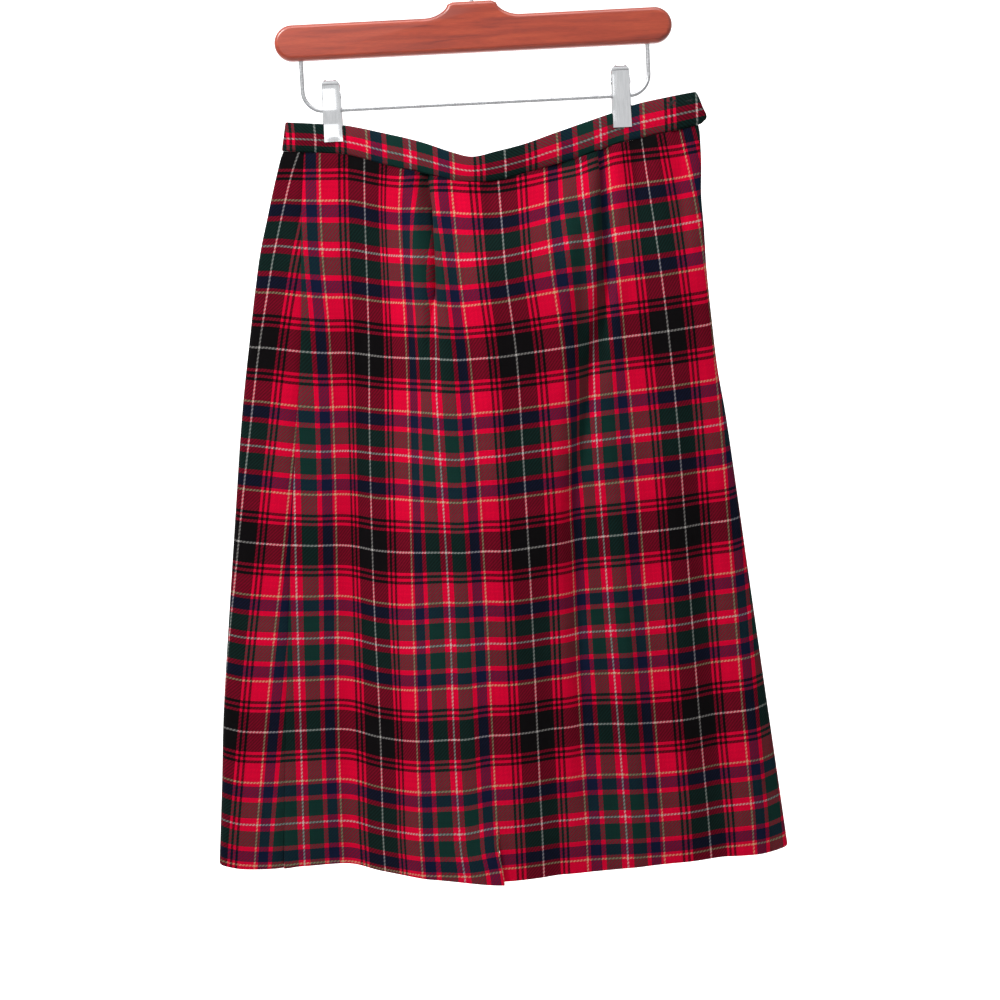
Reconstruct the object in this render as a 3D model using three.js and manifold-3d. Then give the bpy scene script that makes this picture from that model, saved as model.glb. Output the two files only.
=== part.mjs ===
// A below-the-knee tartan skirt clipped to a wooden trouser hanger.
// Millimetres, +Z up. The front faces -Y, and +X is to the right of someone who looks at it.
// The origin is the point inside the top of the hook that rests on the rail.
import * as THREE from 'three';
import { mergeVertices } from 'three/addons/utils/BufferGeometryUtils.js';
import Module from 'manifold-3d';

const wasm = await Module();
wasm.setup();

// ---------- cloth sizes ----------
const PANEL_WALL = 1.8;        // wool twill with its allowances
const BAND_WALL = 2.6;         // two layers of twill and the stiffening
const SEAM_GAP = 0.4;          // clearance where two pieces are sewn
const FOLD_RADIUS_WAIST = 1.9; // side folds, centre of the wall
const FOLD_RADIUS_HEM = 5.5;
const EDGE_BLEND = 14;         // how far from a side fold the opening begins
const BEND_WEIGHT = 9;         // mm of length that one radian of turn counts for when columns are spread
const OUTLINE_STEPS = 260;     // samples of each half outline

// Waistband edges, seen from the front.
const BAND = [
  { x: -176, top: -161.4, bottom: -186.9 },
  { x: -138, top: -165, bottom: -190.5 },
  { x: -118, top: -167.3, bottom: -192.8 },
  { x: -87, top: -175.2, bottom: -203 },
  { x: -52, top: -185.4, bottom: -212.7 },
  { x: -22, top: -197, bottom: -221.3 },
  { x: -6, top: -201, bottom: -223.2 },
  { x: 15, top: -197.4, bottom: -222.6 },
  { x: 42, top: -191.6, bottom: -217.2 },
  { x: 67, top: -184, bottom: -211 },
  { x: 88, top: -177.7, bottom: -206.3 },
  { x: 122, top: -167.7, bottom: -196 },
  { x: 141, top: -161.8, bottom: -192 },
  { x: 175, top: -156.1, bottom: -186.5 },
  { x: 206, top: -152, bottom: -180.6 },
];
const BACK_BAND_DROP = 1.5;    // the back of the band hides just under the front
const BAND_TOP_LEFT = -171.5;  // left fold of the band at its top edge
const BAND_BACK_END = 197;
const BAND_TOP_OPEN = 0.93;    // the band's top edge stands less open than its bottom one

// Rows of the band from its top edge down: share of its depth, share of its wall, front end.
const BAND_ROWS = [
  { down: 0, wall: 0.55, end: 196.5 },
  { down: 0.12, wall: 1, end: 198.6 },
  { down: 0.5, wall: 1, end: 202.3 },
  { down: 0.86, wall: 1, end: 205.6 },
  { down: 1, wall: 0.55, end: 200.5 },
];

// Heights at which the side folds start and end.
const FOLD_ENDS = { left: { waist: -186.9, hem: -840 }, right: { waist: -182, hem: -850 } };

// Side folds of the skirt, by height.
const SIDES = [
  { z: -181, left: -174.4, right: 198.6 },
  { z: -215, left: -185, right: 199 },
  { z: -245, left: -193.4, right: 197.8 },
  { z: -275, left: -201.6, right: 199.2 },
  { z: -310, left: -208.7, right: 200 },
  { z: -357, left: -217, right: 203 },
  { z: -402, left: -224.7, right: 206.6 },
  { z: -445, left: -231, right: 212.5 },
  { z: -518, left: -240.4, right: 220.3 },
  { z: -592, left: -249.8, right: 227.9 },
  { z: -695, left: -262.5, right: 238.7 },
  { z: -764, left: -268.6, right: 246 },
  { z: -852, left: -277, right: 255.3 },
];

// How far the walls stand open beyond the fold radius, across the waist.
const WAIST_OPEN = [
  { x: -176, front: 0, back: 0 },
  { x: -150, front: -0.35, back: -0.35 },
  { x: -130, front: -0.45, back: -0.45 },
  { x: -110, front: -0.2, back: -0.3 },
  { x: -60, front: 3.6, back: 2.6 },
  { x: -5, front: 7.2, back: 5 },
  { x: 60, front: 4, back: 2.8 },
  { x: 110, front: -0.2, back: -0.3 },
  { x: 130, front: -0.45, back: -0.45 },
  { x: 150, front: -0.1, back: -0.2 },
  { x: 178, front: 1.2, back: 0.4 },
  { x: 206, front: 2, back: 0.6 },
];

// The same across the hem; across runs from -1 at the left fold to 1 at the right one.
const HEM_OPEN = [
  { across: -1, front: 2, back: 0 },
  { across: -0.92, front: 4, back: 6 },
  { across: -0.7, front: 7, back: 16 },
  { across: -0.55, front: 6, back: 22 },
  { across: -0.43, front: 14.5, back: 27 },
  { across: -0.26, front: 30, back: 31 },
  { across: -0.02, front: 40.5, back: 29 },
  { across: 0.19, front: 38, back: 31 },
  { across: 0.47, front: 30.5, back: 29 },
  { across: 0.77, front: 16.5, back: 17 },
  { across: 0.94, front: 4, back: 6 },
  { across: 1, front: 1, back: 0 },
];

// Share of the hem opening reached on the way down.
const OPENING = [
  { drop: 0, share: 0 },
  { drop: 0.06, share: 0.1 },
  { drop: 0.2, share: 0.4 },
  { drop: 0.4, share: 0.66 },
  { drop: 0.7, share: 0.88 },
  { drop: 1, share: 1 },
];

// Hem edge of each panel.
const HEM = [
  { x: -277, front: -840, back: -840 },
  { x: -255, front: -846, back: -845 },
  { x: -200, front: -846, back: -849 },
  { x: -157, front: -846, back: -850 },
  { x: -125, front: -852, back: -851 },
  { x: -80, front: -857.4, back: -852 },
  { x: -15, front: -860, back: -853 },
  { x: 41, front: -857.8, back: -853 },
  { x: 115, front: -856.6, back: -853 },
  { x: 195, front: -855.5, back: -852 },
  { x: 240, front: -854.6, back: -851 },
  { x: 256, front: -850, back: -850 },
];

// Flanks of the large soft folds. Each lifts the cloth on its +X side outwards by rise, over its width.
const FLANKS = [
  { side: 'front', waist: -50, middle: -67, hem: -80, width: 30, high: 13, low: 10, foot: 0 },
  { side: 'front', waist: 98, middle: 64, hem: 58, width: 32, high: -13, low: -10, foot: -3 },
  { side: 'front', waist: -150, middle: -190, hem: -214, width: 26, high: -1, low: -2.5, foot: -3 },
  { side: 'front', waist: 150, middle: 168, hem: 190, width: 34, high: 2, low: 3, foot: 4 },
  { side: 'back', waist: -62, middle: -84, hem: -104, width: 34, high: 8, low: 7, foot: 7 },
  { side: 'back', waist: 78, middle: 88, hem: 96, width: 36, high: -8, low: -8, foot: -7 },
  { side: 'back', waist: 6, middle: -4, hem: -12, width: 40, high: -3, low: -5, foot: -8 },
  { side: 'back', waist: 40, middle: 42, hem: 40, width: 40, high: 3, low: 5, foot: 8 },
];
const FLANK_START = 0.13;      // drop at which a fold has come to its full height

// Seams: the left one sits on the front, the right one behind the right fold.
const SEAMS = [
  { drop: 0, left: -157.5, wrap: 20 },
  { drop: 0.1, left: -167, wrap: 25 },
  { drop: 0.25, left: -172, wrap: 33 },
  { drop: 0.5, left: -188, wrap: 44 },
  { drop: 0.75, left: -203, wrap: 54 },
  { drop: 1, left: -215.5, wrap: 62 },
];

// Lapped slit at the front hem.
const SLIT = {
  waist: 6, hem: -15, // x of the line that it lies on
  share: 0.085,       // part of the skirt's length
  gap: 0.9,           // between its edges where it starts
  forward: 5, lap: 4.6, droop: 2.2, // of the upper edge's corner: out, over the other edge, down
  swing: 0.75,        // power by which the edge comes forward
  lapFrom: 0.3,       // share of the slit where the lap starts
  reach: 36,          // how far from the edge the cloth follows
};

// Rows of both panels: evenly down to the top of the slit, then closer.
const LONG_ROWS = 18;
const ROW_GROWTH = 1.12;
const SLIT_ROWS = [0.16, 0.42, 0.7, 1];
const FRONT_COLUMNS = { beforeSlit: 14, afterSlit: 22 };
const BACK_COLUMNS = 31;
const BAND_FOLD_CELLS = 5;
const BAND_CLOSEST = 2;        // columns of the band closer than this are one
const BAND_END_CELL = 8;       // least width of its last cell

// ---------- hanger sizes ----------
const BAR = { half: 178, top: -76.8, bottom: -108.6, depth: 14, round: 4.4 };
const NECK = { half: 23.7, shoulder: 43, top: -63.8, corner: 2.5, sweep: 11, flare: 4, bend: 0.4 };
const WIRE = 1.9;              // radius of the hook and rod wire
const FIT = 0.3;               // clearance round a wire in its bore and under a jaw
const HOOK = { radius: 20, from: -60, to: 200, step: 20, stemTop: -52, foot: -77, sway: 9, joinPull: 7 };
const ROD = { half: 155.5, z: -153.1, bend: 18, into: -97 };
const BORE_DEPTH = { hook: 14, rod: 12.5 };
const ARC_HANDLE = 0.5523;     // handle of a cubic curve that follows a quarter circle
const WIRE_STEPS = { hook: 42, rod: 66 };
const CLIP_X = 130;
const SHEET = 1;               // thickness of the clip's sheet steel
const SPRING = { radius: 4.2, core: 3.5, half: 10, coils: 7, z: -139 };

// Jaw of a clip from its finger flange down to the tip: height, centre of the sheet, half width.
const JAW = [
  { z: -127.2, out: 8.4, half: 5.6 },
  { z: -128.8, out: 6.5, half: 7.3 },
  { z: -131.5, out: 5.4, half: 8 },
  { z: -139, out: 5, half: 8.1 },
  { z: -153, out: 4.9, half: 8.4 },
  { z: -160, out: 4.2, half: 8.7 },
  { z: -165.5, out: 3.55, half: 8.9 },
  { z: -181.2, out: 3.55, half: 9.25 },
];
const LUG = { x: 6.9, front: -3.2, rear: 4.9, rearLow: 4.3, high: -148, low: -158.2, corner: 2 };

// ---------- helpers ----------
const mix = (a, b, k) => a + (b - a) * k;
const ease = (a, b, v) => THREE.MathUtils.smoothstep(v, a, b);

// Smooth value of one column of a table at a value of its key column.
function look(table, key, at, column) {
  const last = table.length - 1;
  const slope = (i) => {
    const a = table[Math.max(0, i - 1)], b = table[Math.min(last, i + 1)];
    return (b[column] - a[column]) / (b[key] - a[key]);
  };
  const forward = table[last][key] > table[0][key];
  let i = 0;
  while (i < last - 1 && (forward ? at > table[i + 1][key] : at < table[i + 1][key])) i += 1;
  const a = table[i], b = table[i + 1], span = b[key] - a[key];
  const k = THREE.MathUtils.clamp((at - a[key]) / span, 0, 1);
  const k2 = k * k, k3 = k2 * k;
  return a[column] * (2 * k3 - 3 * k2 + 1) + b[column] * (3 * k2 - 2 * k3)
    + span * (slope(i) * (k3 - 2 * k2 + k) + slope(i + 1) * (k3 - k2));
}

function bufferOf(positions, index) {
  const geometry = new THREE.BufferGeometry();
  geometry.setAttribute('position', new THREE.Float32BufferAttribute(positions, 3));
  geometry.setIndex(index);
  geometry.computeVertexNormals();
  return geometry;
}

// Closed wall on a grid of points: rows[i][j] are centres, half(i, j) is half the level thickness,
// and a cell that keep(i, j) refuses is left open. Seen from outside, rows run down, columns right.
function wall(rows, half, keep = () => true) {
  const high = rows.length, wide = rows[0].length;
  const point = (i, j) => rows[i][j];
  const normal = (i, j) => {
    const across = new THREE.Vector3(), down = new THREE.Vector3();
    across.subVectors(point(i, Math.min(wide - 1, j + 1)), point(i, Math.max(0, j - 1)));
    down.subVectors(point(Math.min(high - 1, i + 1), j), point(Math.max(0, i - 1), j));
    return down.cross(across).setZ(0).normalize();
  };
  const positions = [], index = [];
  for (const way of [1, -1]) {
    for (let i = 0; i < high; i += 1) {
      for (let j = 0; j < wide; j += 1) {
        const p = point(i, j).clone().addScaledVector(normal(i, j), way * half(i, j));
        positions.push(p.x, p.y, p.z);
      }
    }
  }
  const outer = (i, j) => i * wide + j;
  const inner = (i, j) => high * wide + i * wide + j;
  const kept = (i, j) => i >= 0 && j >= 0 && i < high - 1 && j < wide - 1 && keep(i, j);
  const quad = (a, b, c, d) => index.push(a, b, c, a, c, d);
  for (let i = 0; i < high - 1; i += 1) {
    for (let j = 0; j < wide - 1; j += 1) {
      if (!kept(i, j)) continue;
      quad(outer(i, j), outer(i + 1, j), outer(i + 1, j + 1), outer(i, j + 1));
      quad(inner(i, j), inner(i, j + 1), inner(i + 1, j + 1), inner(i + 1, j));
      if (!kept(i - 1, j)) quad(outer(i, j), outer(i, j + 1), inner(i, j + 1), inner(i, j));
      if (!kept(i + 1, j)) quad(outer(i + 1, j + 1), outer(i + 1, j), inner(i + 1, j), inner(i + 1, j + 1));
      if (!kept(i, j - 1)) quad(outer(i + 1, j), outer(i, j), inner(i, j), inner(i + 1, j));
      if (!kept(i, j + 1)) quad(outer(i, j + 1), outer(i + 1, j + 1), inner(i + 1, j + 1), inner(i, j + 1));
    }
  }
  return bufferOf(positions, index);
}

function toSolid(geometry) {
  const plain = geometry.clone();
  plain.deleteAttribute('normal');
  plain.deleteAttribute('uv');
  const merged = mergeVertices(plain, 1e-4);
  return new wasm.Manifold(new wasm.Mesh({
    numProp: 3,
    vertProperties: new Float32Array(merged.attributes.position.array),
    triVerts: new Uint32Array(merged.index.array),
  }));
}

function toGeometry(solid) {
  const mesh = solid.getMesh();
  return bufferOf(Array.from(mesh.vertProperties), Array.from(mesh.triVerts));
}

const group = new THREE.Group();
group.name = 'tartan_skirt_on_hanger';

function add(name, geometry, finish) {
  const mesh = new THREE.Mesh(geometry, new THREE.MeshStandardMaterial(finish));
  mesh.name = name;
  group.add(mesh);
}

const CLOTH = { name: 'tartan_wool', color: 0xa51530, roughness: 0.9 };
const WOOD = { name: 'cherry_wood', color: 0x8e3a22, roughness: 0.35 };
const STEEL = { name: 'plated_steel', color: 0xc9ccd0, metalness: 1, roughness: 0.18 };

// ---------- skirt form ----------
function flankShare(flank, drop, x) {
  const centre = drop < 0.5 ? mix(flank.waist, flank.middle, drop * 2)
    : mix(flank.middle, flank.hem, drop * 2 - 1);
  const rise = drop < 0.5 ? mix(flank.high, flank.low, drop * 2) : mix(flank.low, flank.foot, drop * 2 - 1);
  return rise * ease(centre - flank.width / 2, centre + flank.width / 2, x);
}

// Distance of the front or back wall from the middle plane at a drop and a place across.
function depthAt(side, drop, x, left, right) {
  const radius = mix(FOLD_RADIUS_WAIST, FOLD_RADIUS_HEM, drop);
  const inward = Math.min(x - left, right - x);
  const cap = inward < radius ? Math.sqrt(Math.max(0, radius ** 2 - (radius - inward) ** 2)) : radius;
  const near = 1 - THREE.MathUtils.clamp(inward / EDGE_BLEND, 0, 1);
  const begin = Math.sqrt(1 - near ** 2);
  const across = (2 * x - left - right) / (right - left);
  const share = look(OPENING, 'drop', drop, 'share');
  const open = mix(look(WAIST_OPEN, 'x', x, side), look(HEM_OPEN, 'across', across, side), share);
  let folds = 0;
  for (const flank of FLANKS) if (flank.side === side) folds += flankShare(flank, drop, x);
  return cap + begin * (open + folds * ease(0, FLANK_START, drop));
}

// Outline of the skirt at a drop, from the left fold along the front and home along the back.
function outlineAt(drop) {
  const foldAt = (side) => {
    const ends = FOLD_ENDS[side];
    return look(SIDES, 'z', mix(ends.waist, ends.hem, drop), side);
  };
  const left = foldAt('left'), right = foldAt('right');
  const points = [];
  for (const side of ['front', 'back']) {
    for (let k = 0; k < OUTLINE_STEPS; k += 1) {
      const turn = (Math.PI * k) / OUTLINE_STEPS;
      const x = mix(left, right, side === 'front' ? (1 - Math.cos(turn)) / 2 : (1 + Math.cos(turn)) / 2);
      const depth = depthAt(side, drop, x, left, right);
      points.push(new THREE.Vector2(x, side === 'front' ? -depth : depth));
    }
  }
  points.push(points[0].clone());
  const along = [0];
  for (let k = 1; k < points.length; k += 1) {
    const step = points[k].clone().sub(points[k - 1]);
    const next = (k + 1 < points.length ? points[k + 1] : points[1]).clone().sub(points[k]);
    const turn = Math.abs(Math.atan2(step.cross(next), step.dot(next)));
    along.push(along[k - 1] + step.length() + BEND_WEIGHT * turn);
  }
  return { points, along, left, right };
}

// Point of an outline at a place along it, and the place along it of an x on one half.
function pointOn(outline, at) {
  const { points, along } = outline, whole = along[along.length - 1];
  const wanted = ((at % whole) + whole) % whole;
  let low = 0, high = along.length - 1;
  while (high - low > 1) {
    const centre = (low + high) >> 1;
    if (along[centre] <= wanted) low = centre; else high = centre;
  }
  return points[low].clone().lerp(points[high], (wanted - along[low]) / (along[high] - along[low]));
}

function placeOf(outline, side, x) {
  const { points, along } = outline;
  const from = side === 'front' ? 0 : OUTLINE_STEPS;
  let k = from;
  const short = (p) => (side === 'front' ? p.x < x : p.x > x);
  while (short(points[k + 1])) k += 1;
  const share = (x - points[k].x) / (points[k + 1].x - points[k].x);
  return mix(along[k], along[k + 1], share);
}

const SLIT_START = 1 - SLIT.share;
const drops = [];
for (let k = 0; k <= LONG_ROWS; k += 1) drops.push(SLIT_START * (k / LONG_ROWS) ** ROW_GROWTH);
for (const share of SLIT_ROWS) drops.push(mix(SLIT_START, 1, share));
const outlines = drops.map(outlineAt);

// Places along each outline where pieces meet.
const marks = outlines.map((outline, i) => {
  const drop = drops[i], whole = outline.along[outline.along.length - 1];
  const leftSeam = placeOf(outline, 'front', look(SEAMS, 'drop', drop, 'left'));
  const slit = placeOf(outline, 'front', mix(SLIT.waist, SLIT.hem, drop));
  const rightSeam = placeOf(outline, 'back', outline.right - look(SEAMS, 'drop', drop, 'wrap'));
  return { leftSeam, slit, rightSeam, whole };
});

// Points of a panel in plan, lifted to the height that their column has at this drop.
function panelRows(placesOf) {
  const plan = outlines.map((outline, i) => placesOf(marks[i]).map((at) => pointOn(outline, at)));
  const foot = plan[plan.length - 1];
  return plan.map((row, i) => row.map((p, j) => {
    const top = look(BAND, 'x', plan[0][j].x, 'bottom') - SEAM_GAP;
    const hem = look(HEM, 'x', foot[j].x, foot[j].y < 0 ? 'front' : 'back');
    return new THREE.Vector3(p.x, p.y, mix(top, hem, drops[i]));
  }));
}

function spread(from, to, cells) {
  return Array.from({ length: cells + 1 }, (_, k) => mix(from, to, k / cells));
}

// ---------- front panel, with its lapped slit ----------
const frontRows = panelRows((m) => [
  ...spread(m.leftSeam + SEAM_GAP / 2, m.slit - SLIT.gap / 2, FRONT_COLUMNS.beforeSlit),
  ...spread(m.slit + SLIT.gap / 2, m.rightSeam - SEAM_GAP / 2, FRONT_COLUMNS.afterSlit),
]);
const lapColumn = FRONT_COLUMNS.beforeSlit;
frontRows.forEach((row, i) => {
  const below = Math.max(0, (drops[i] - SLIT_START) / (1 - SLIT_START));
  const edge = row[lapColumn].x;
  for (let j = 0; j <= lapColumn; j += 1) {
    const near = Math.exp(-(((edge - row[j].x) / SLIT.reach) ** 2));
    row[j].y -= SLIT.forward * below ** SLIT.swing * near;
    row[j].x += SLIT.lap * ease(SLIT.lapFrom, 1, below) * near;
    row[j].z -= SLIT.droop * below * near;
  }
});
const inSlit = (i, j) => j === lapColumn && drops[i] >= SLIT_START - 1e-6;
add('front_panel', wall(frontRows, () => PANEL_WALL / 2, (i, j) => !inSlit(i, j)), CLOTH);

// ---------- back panel, which wraps round the left fold ----------
const backRows = panelRows((m) => (
  spread(m.rightSeam + SEAM_GAP / 2, m.whole + m.leftSeam - SEAM_GAP / 2, BACK_COLUMNS)
));
add('back_panel', wall(backRows, () => PANEL_WALL / 2), CLOTH);

// ---------- waistband, one strip from the front end round the left fold to the back end ----------
// Its columns stand over those of the panels, so that both edges of the seam have the same corners.
const BAND_BOTTOM_LEFT = look(SIDES, 'z', FOLD_ENDS.left.waist, 'left');
function columnsOver(side) {
  const from = BAND_BOTTOM_LEFT + 2 * FOLD_RADIUS_WAIST, to = BAND_BACK_END - BAND_END_CELL;
  const over = [...frontRows[0], ...backRows[0]].filter((p) => (side === 'front') === (p.y < 0))
    .map((p) => p.x).filter((x) => x > from && x < to).sort((a, b) => a - b);
  return over.filter((x, k) => k === 0 || x - over[k - 1] > BAND_CLOSEST);
}
const overFront = columnsOver('front'), overBack = columnsOver('back');
const bandRows = BAND_ROWS.map((band) => {
  const left = mix(BAND_TOP_LEFT, BAND_BOTTOM_LEFT, band.down);
  const less = mix(BAND_TOP_OPEN, 1, band.down);
  const radius = FOLD_RADIUS_WAIST;
  const straight = left + radius;
  const place = (x, side) => {
    const sign = side === 'front' ? -1 : 1;
    const begin = ease(0, EDGE_BLEND, x - straight);
    const lower = side === 'front' ? 0 : BACK_BAND_DROP * begin;
    const top = look(BAND, 'x', x, 'top') - lower, bottom = look(BAND, 'x', x, 'bottom');
    const open = look(WAIST_OPEN, 'x', x, side) * begin;
    const wide = open > 0 ? open * less : open;
    return new THREE.Vector3(x, sign * (radius + wide), mix(top, bottom, band.down));
  };
  const row = [];
  for (const x of [straight, ...overFront, band.end].reverse()) row.push(place(x, 'front'));
  for (let k = 1; k < BAND_FOLD_CELLS; k += 1) {
    const turn = (Math.PI * k) / BAND_FOLD_CELLS;
    const z = mix(look(BAND, 'x', left, 'top'), look(BAND, 'x', left, 'bottom'), band.down);
    row.push(new THREE.Vector3(straight - radius * Math.sin(turn), -radius * Math.cos(turn), z));
  }
  for (const x of [straight, ...overBack, BAND_BACK_END]) row.push(place(x, 'back'));
  return row.reverse();
});
add('waistband', wall(bandRows, (i) => (BAND_WALL / 2) * BAND_ROWS[i].wall), CLOTH);

// ---------- hanger bar ----------
// Outline of the flat face; the rounding goes out from it by BAR.round.
function barFace() {
  const top = BAR.top - BAR.round, bottom = BAR.bottom + BAR.round;
  const radius = (top - bottom) / 2, centre = (top + bottom) / 2;
  const end = BAR.half - BAR.round - radius;
  const neck = NECK.half - BAR.round, neckTop = NECK.top - BAR.round;
  const bend = mix(top, neckTop, NECK.bend);
  const shape = new THREE.Shape();
  shape.moveTo(-end, bottom);
  shape.lineTo(end, bottom);
  shape.absarc(end, centre, radius, -Math.PI / 2, Math.PI / 2, false);
  shape.lineTo(NECK.shoulder, top);
  shape.bezierCurveTo(NECK.shoulder - NECK.sweep, top, neck + NECK.flare, bend, neck, neckTop - NECK.corner);
  shape.lineTo(neck - NECK.corner, neckTop);
  shape.lineTo(NECK.corner - neck, neckTop);
  shape.lineTo(-neck, neckTop - NECK.corner);
  shape.bezierCurveTo(-neck - NECK.flare, bend, NECK.sweep - NECK.shoulder, top, -NECK.shoulder, top);
  shape.lineTo(-end, top);
  shape.absarc(-end, centre, radius, Math.PI / 2, Math.PI * 1.5, false);
  const points = shape.getPoints(7);
  return new THREE.Shape(points.filter((p, k) => p.distanceTo(points[(k + 1) % points.length]) > 0.01));
}

const barBlank = new THREE.ExtrudeGeometry(barFace(), {
  depth: BAR.depth - 2 * BAR.round,
  bevelEnabled: true,
  bevelThickness: BAR.round,
  bevelSize: BAR.round,
  bevelSegments: 3,
});
barBlank.translate(0, 0, BAR.round - BAR.depth / 2);
barBlank.rotateX(Math.PI / 2);

function bore(x, mouth, depth) {
  const over = 2 * Math.sign(depth);
  const drill = new THREE.CylinderGeometry(WIRE + FIT, WIRE + FIT, Math.abs(depth) + 2, 12);
  drill.rotateX(Math.PI / 2);
  drill.translate(x, 0, mouth + over / 2 - depth / 2);
  return toSolid(drill);
}

let bar = toSolid(barBlank).subtract(bore(0, NECK.top, BORE_DEPTH.hook));
for (const x of [-ROD.half, ROD.half]) bar = bar.subtract(bore(x, BAR.bottom, -BORE_DEPTH.rod));
add('hanger_bar', toGeometry(bar), WOOD);

// ---------- hook and rod, round wire ----------
function wire(path, steps) {
  const round = new THREE.Shape();
  round.absarc(0, 0, WIRE, 0, Math.PI * 2, false);
  return new THREE.ExtrudeGeometry(round, { steps, curveSegments: 5, extrudePath: path });
}

const hookCentre = WIRE - HOOK.radius;
const hookPoint = (degrees) => {
  const turn = THREE.MathUtils.degToRad(degrees);
  return new THREE.Vector3(HOOK.radius * Math.cos(turn), 0, hookCentre + HOOK.radius * Math.sin(turn));
};
const hookPath = new THREE.CurvePath();
const hookFoot = new THREE.Vector3(0, 0, HOOK.stemTop);
const hookJoin = hookPoint(HOOK.from);
const joinWay = new THREE.Vector3(-Math.sin(THREE.MathUtils.degToRad(HOOK.from)), 0,
  Math.cos(THREE.MathUtils.degToRad(HOOK.from)));
hookPath.add(new THREE.LineCurve3(new THREE.Vector3(0, 0, HOOK.foot), hookFoot));
hookPath.add(new THREE.CubicBezierCurve3(hookFoot, new THREE.Vector3(0, 0, HOOK.stemTop + HOOK.sway),
  hookJoin.clone().addScaledVector(joinWay, -HOOK.joinPull), hookJoin));
const bends = [];
for (let a = HOOK.from; a <= HOOK.to; a += HOOK.step) bends.push(hookPoint(a));
hookPath.add(new THREE.CatmullRomCurve3(bends));
add('hanger_hook', wire(hookPath, WIRE_STEPS.hook), STEEL);

const rodPath = new THREE.CurvePath();
const soft = ROD.bend * (1 - ARC_HANDLE);
const rodPoint = (x, z) => new THREE.Vector3(x, 0, z);
const straightFoot = ROD.z + ROD.bend, inner = ROD.half - ROD.bend;
rodPath.add(new THREE.LineCurve3(rodPoint(-ROD.half, ROD.into), rodPoint(-ROD.half, straightFoot)));
rodPath.add(new THREE.CubicBezierCurve3(rodPoint(-ROD.half, straightFoot), rodPoint(-ROD.half, ROD.z + soft),
  rodPoint(-ROD.half + soft, ROD.z), rodPoint(-inner, ROD.z)));
rodPath.add(new THREE.LineCurve3(rodPoint(-inner, ROD.z), rodPoint(inner, ROD.z)));
rodPath.add(new THREE.CubicBezierCurve3(rodPoint(inner, ROD.z), rodPoint(ROD.half - soft, ROD.z),
  rodPoint(ROD.half, ROD.z + soft), rodPoint(ROD.half, straightFoot)));
rodPath.add(new THREE.LineCurve3(rodPoint(ROD.half, straightFoot), rodPoint(ROD.half, ROD.into)));
add('hanger_rod', wire(rodPath, WIRE_STEPS.rod), STEEL);

// ---------- clips ----------
function jaw(centre, sign) {
  const rows = JAW.map((at) => [-1, 0, 1].map((across) => (
    new THREE.Vector3(centre - sign * across * at.half, sign * at.out, at.z)
  )));
  return wall(rows, () => SHEET / 2);
}

function lug(x) {
  const shape = new THREE.Shape();
  shape.moveTo(LUG.rear, LUG.high);
  shape.lineTo(LUG.front + LUG.corner, LUG.high);
  shape.lineTo(LUG.front, LUG.high - LUG.corner);
  shape.lineTo(LUG.front, LUG.low + LUG.corner);
  shape.lineTo(LUG.front + LUG.corner, LUG.low);
  shape.lineTo(LUG.rearLow, LUG.low);
  const hole = new THREE.Path();
  hole.absarc(0, ROD.z, WIRE + FIT, 0, Math.PI * 2, true);
  shape.holes.push(hole);
  const plate = new THREE.ExtrudeGeometry(shape, { depth: SHEET, bevelEnabled: false, curveSegments: 12 });
  plate.rotateX(Math.PI / 2);
  plate.rotateZ(Math.PI / 2);
  plate.translate(x - SHEET / 2, 0, 0);
  return plate;
}

function spring(centre) {
  const profile = [new THREE.Vector2(0, -SPRING.half)];
  const pitch = (2 * SPRING.half) / SPRING.coils;
  for (let k = 0; k < SPRING.coils; k += 1) {
    const start = k * pitch - SPRING.half;
    profile.push(new THREE.Vector2(SPRING.core, start));
    profile.push(new THREE.Vector2(SPRING.radius, start + pitch / 2));
  }
  profile.push(new THREE.Vector2(SPRING.core, SPRING.half));
  profile.push(new THREE.Vector2(0, SPRING.half));
  const coil = new THREE.LatheGeometry(profile, 12);
  coil.rotateZ(-Math.PI / 2);
  coil.translate(centre, 0, SPRING.z);
  return coil;
}

for (const [name, centre] of [['left', -CLIP_X], ['right', CLIP_X]]) {
  add(`clip_${name}_front_jaw`, jaw(centre, -1), STEEL);
  let back = toSolid(jaw(centre, 1));
  for (const way of [-1, 1]) back = back.add(toSolid(lug(centre + way * LUG.x)));
  add(`clip_${name}_back_jaw`, toGeometry(back), STEEL);
  add(`clip_${name}_spring`, spring(centre), STEEL);
}

export default group;
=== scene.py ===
"""A tartan skirt clipped to a wooden trouser hanger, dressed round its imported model.

Everything is in metres in the model's own frame: the hook's bearing point is the origin, +Z is up and
the front faces -Y. The sizes below are in millimetres, as a cutter would note them.
"""

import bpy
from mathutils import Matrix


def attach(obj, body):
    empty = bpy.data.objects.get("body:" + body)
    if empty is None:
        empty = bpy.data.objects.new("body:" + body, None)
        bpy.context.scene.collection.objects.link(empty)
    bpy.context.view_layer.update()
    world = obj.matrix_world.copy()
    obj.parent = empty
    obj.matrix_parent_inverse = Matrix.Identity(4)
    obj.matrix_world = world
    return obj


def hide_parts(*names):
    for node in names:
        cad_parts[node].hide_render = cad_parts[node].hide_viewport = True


bl_info = {
    "name": "Tartan skirt on a hanger",
    "version": (1, 0, 0),
    "blender": (4, 5, 0),
    "location": "View3D > Sidebar > Skirt",
    "description": "Makes the cloth, hanger, clips and studio of a tartan skirt",
    "category": "Add Mesh",
}

import math

import bmesh
import bpy
import numpy as np
from bpy.props import FloatProperty, FloatVectorProperty, PointerProperty
from mathutils import Matrix, Vector

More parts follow.
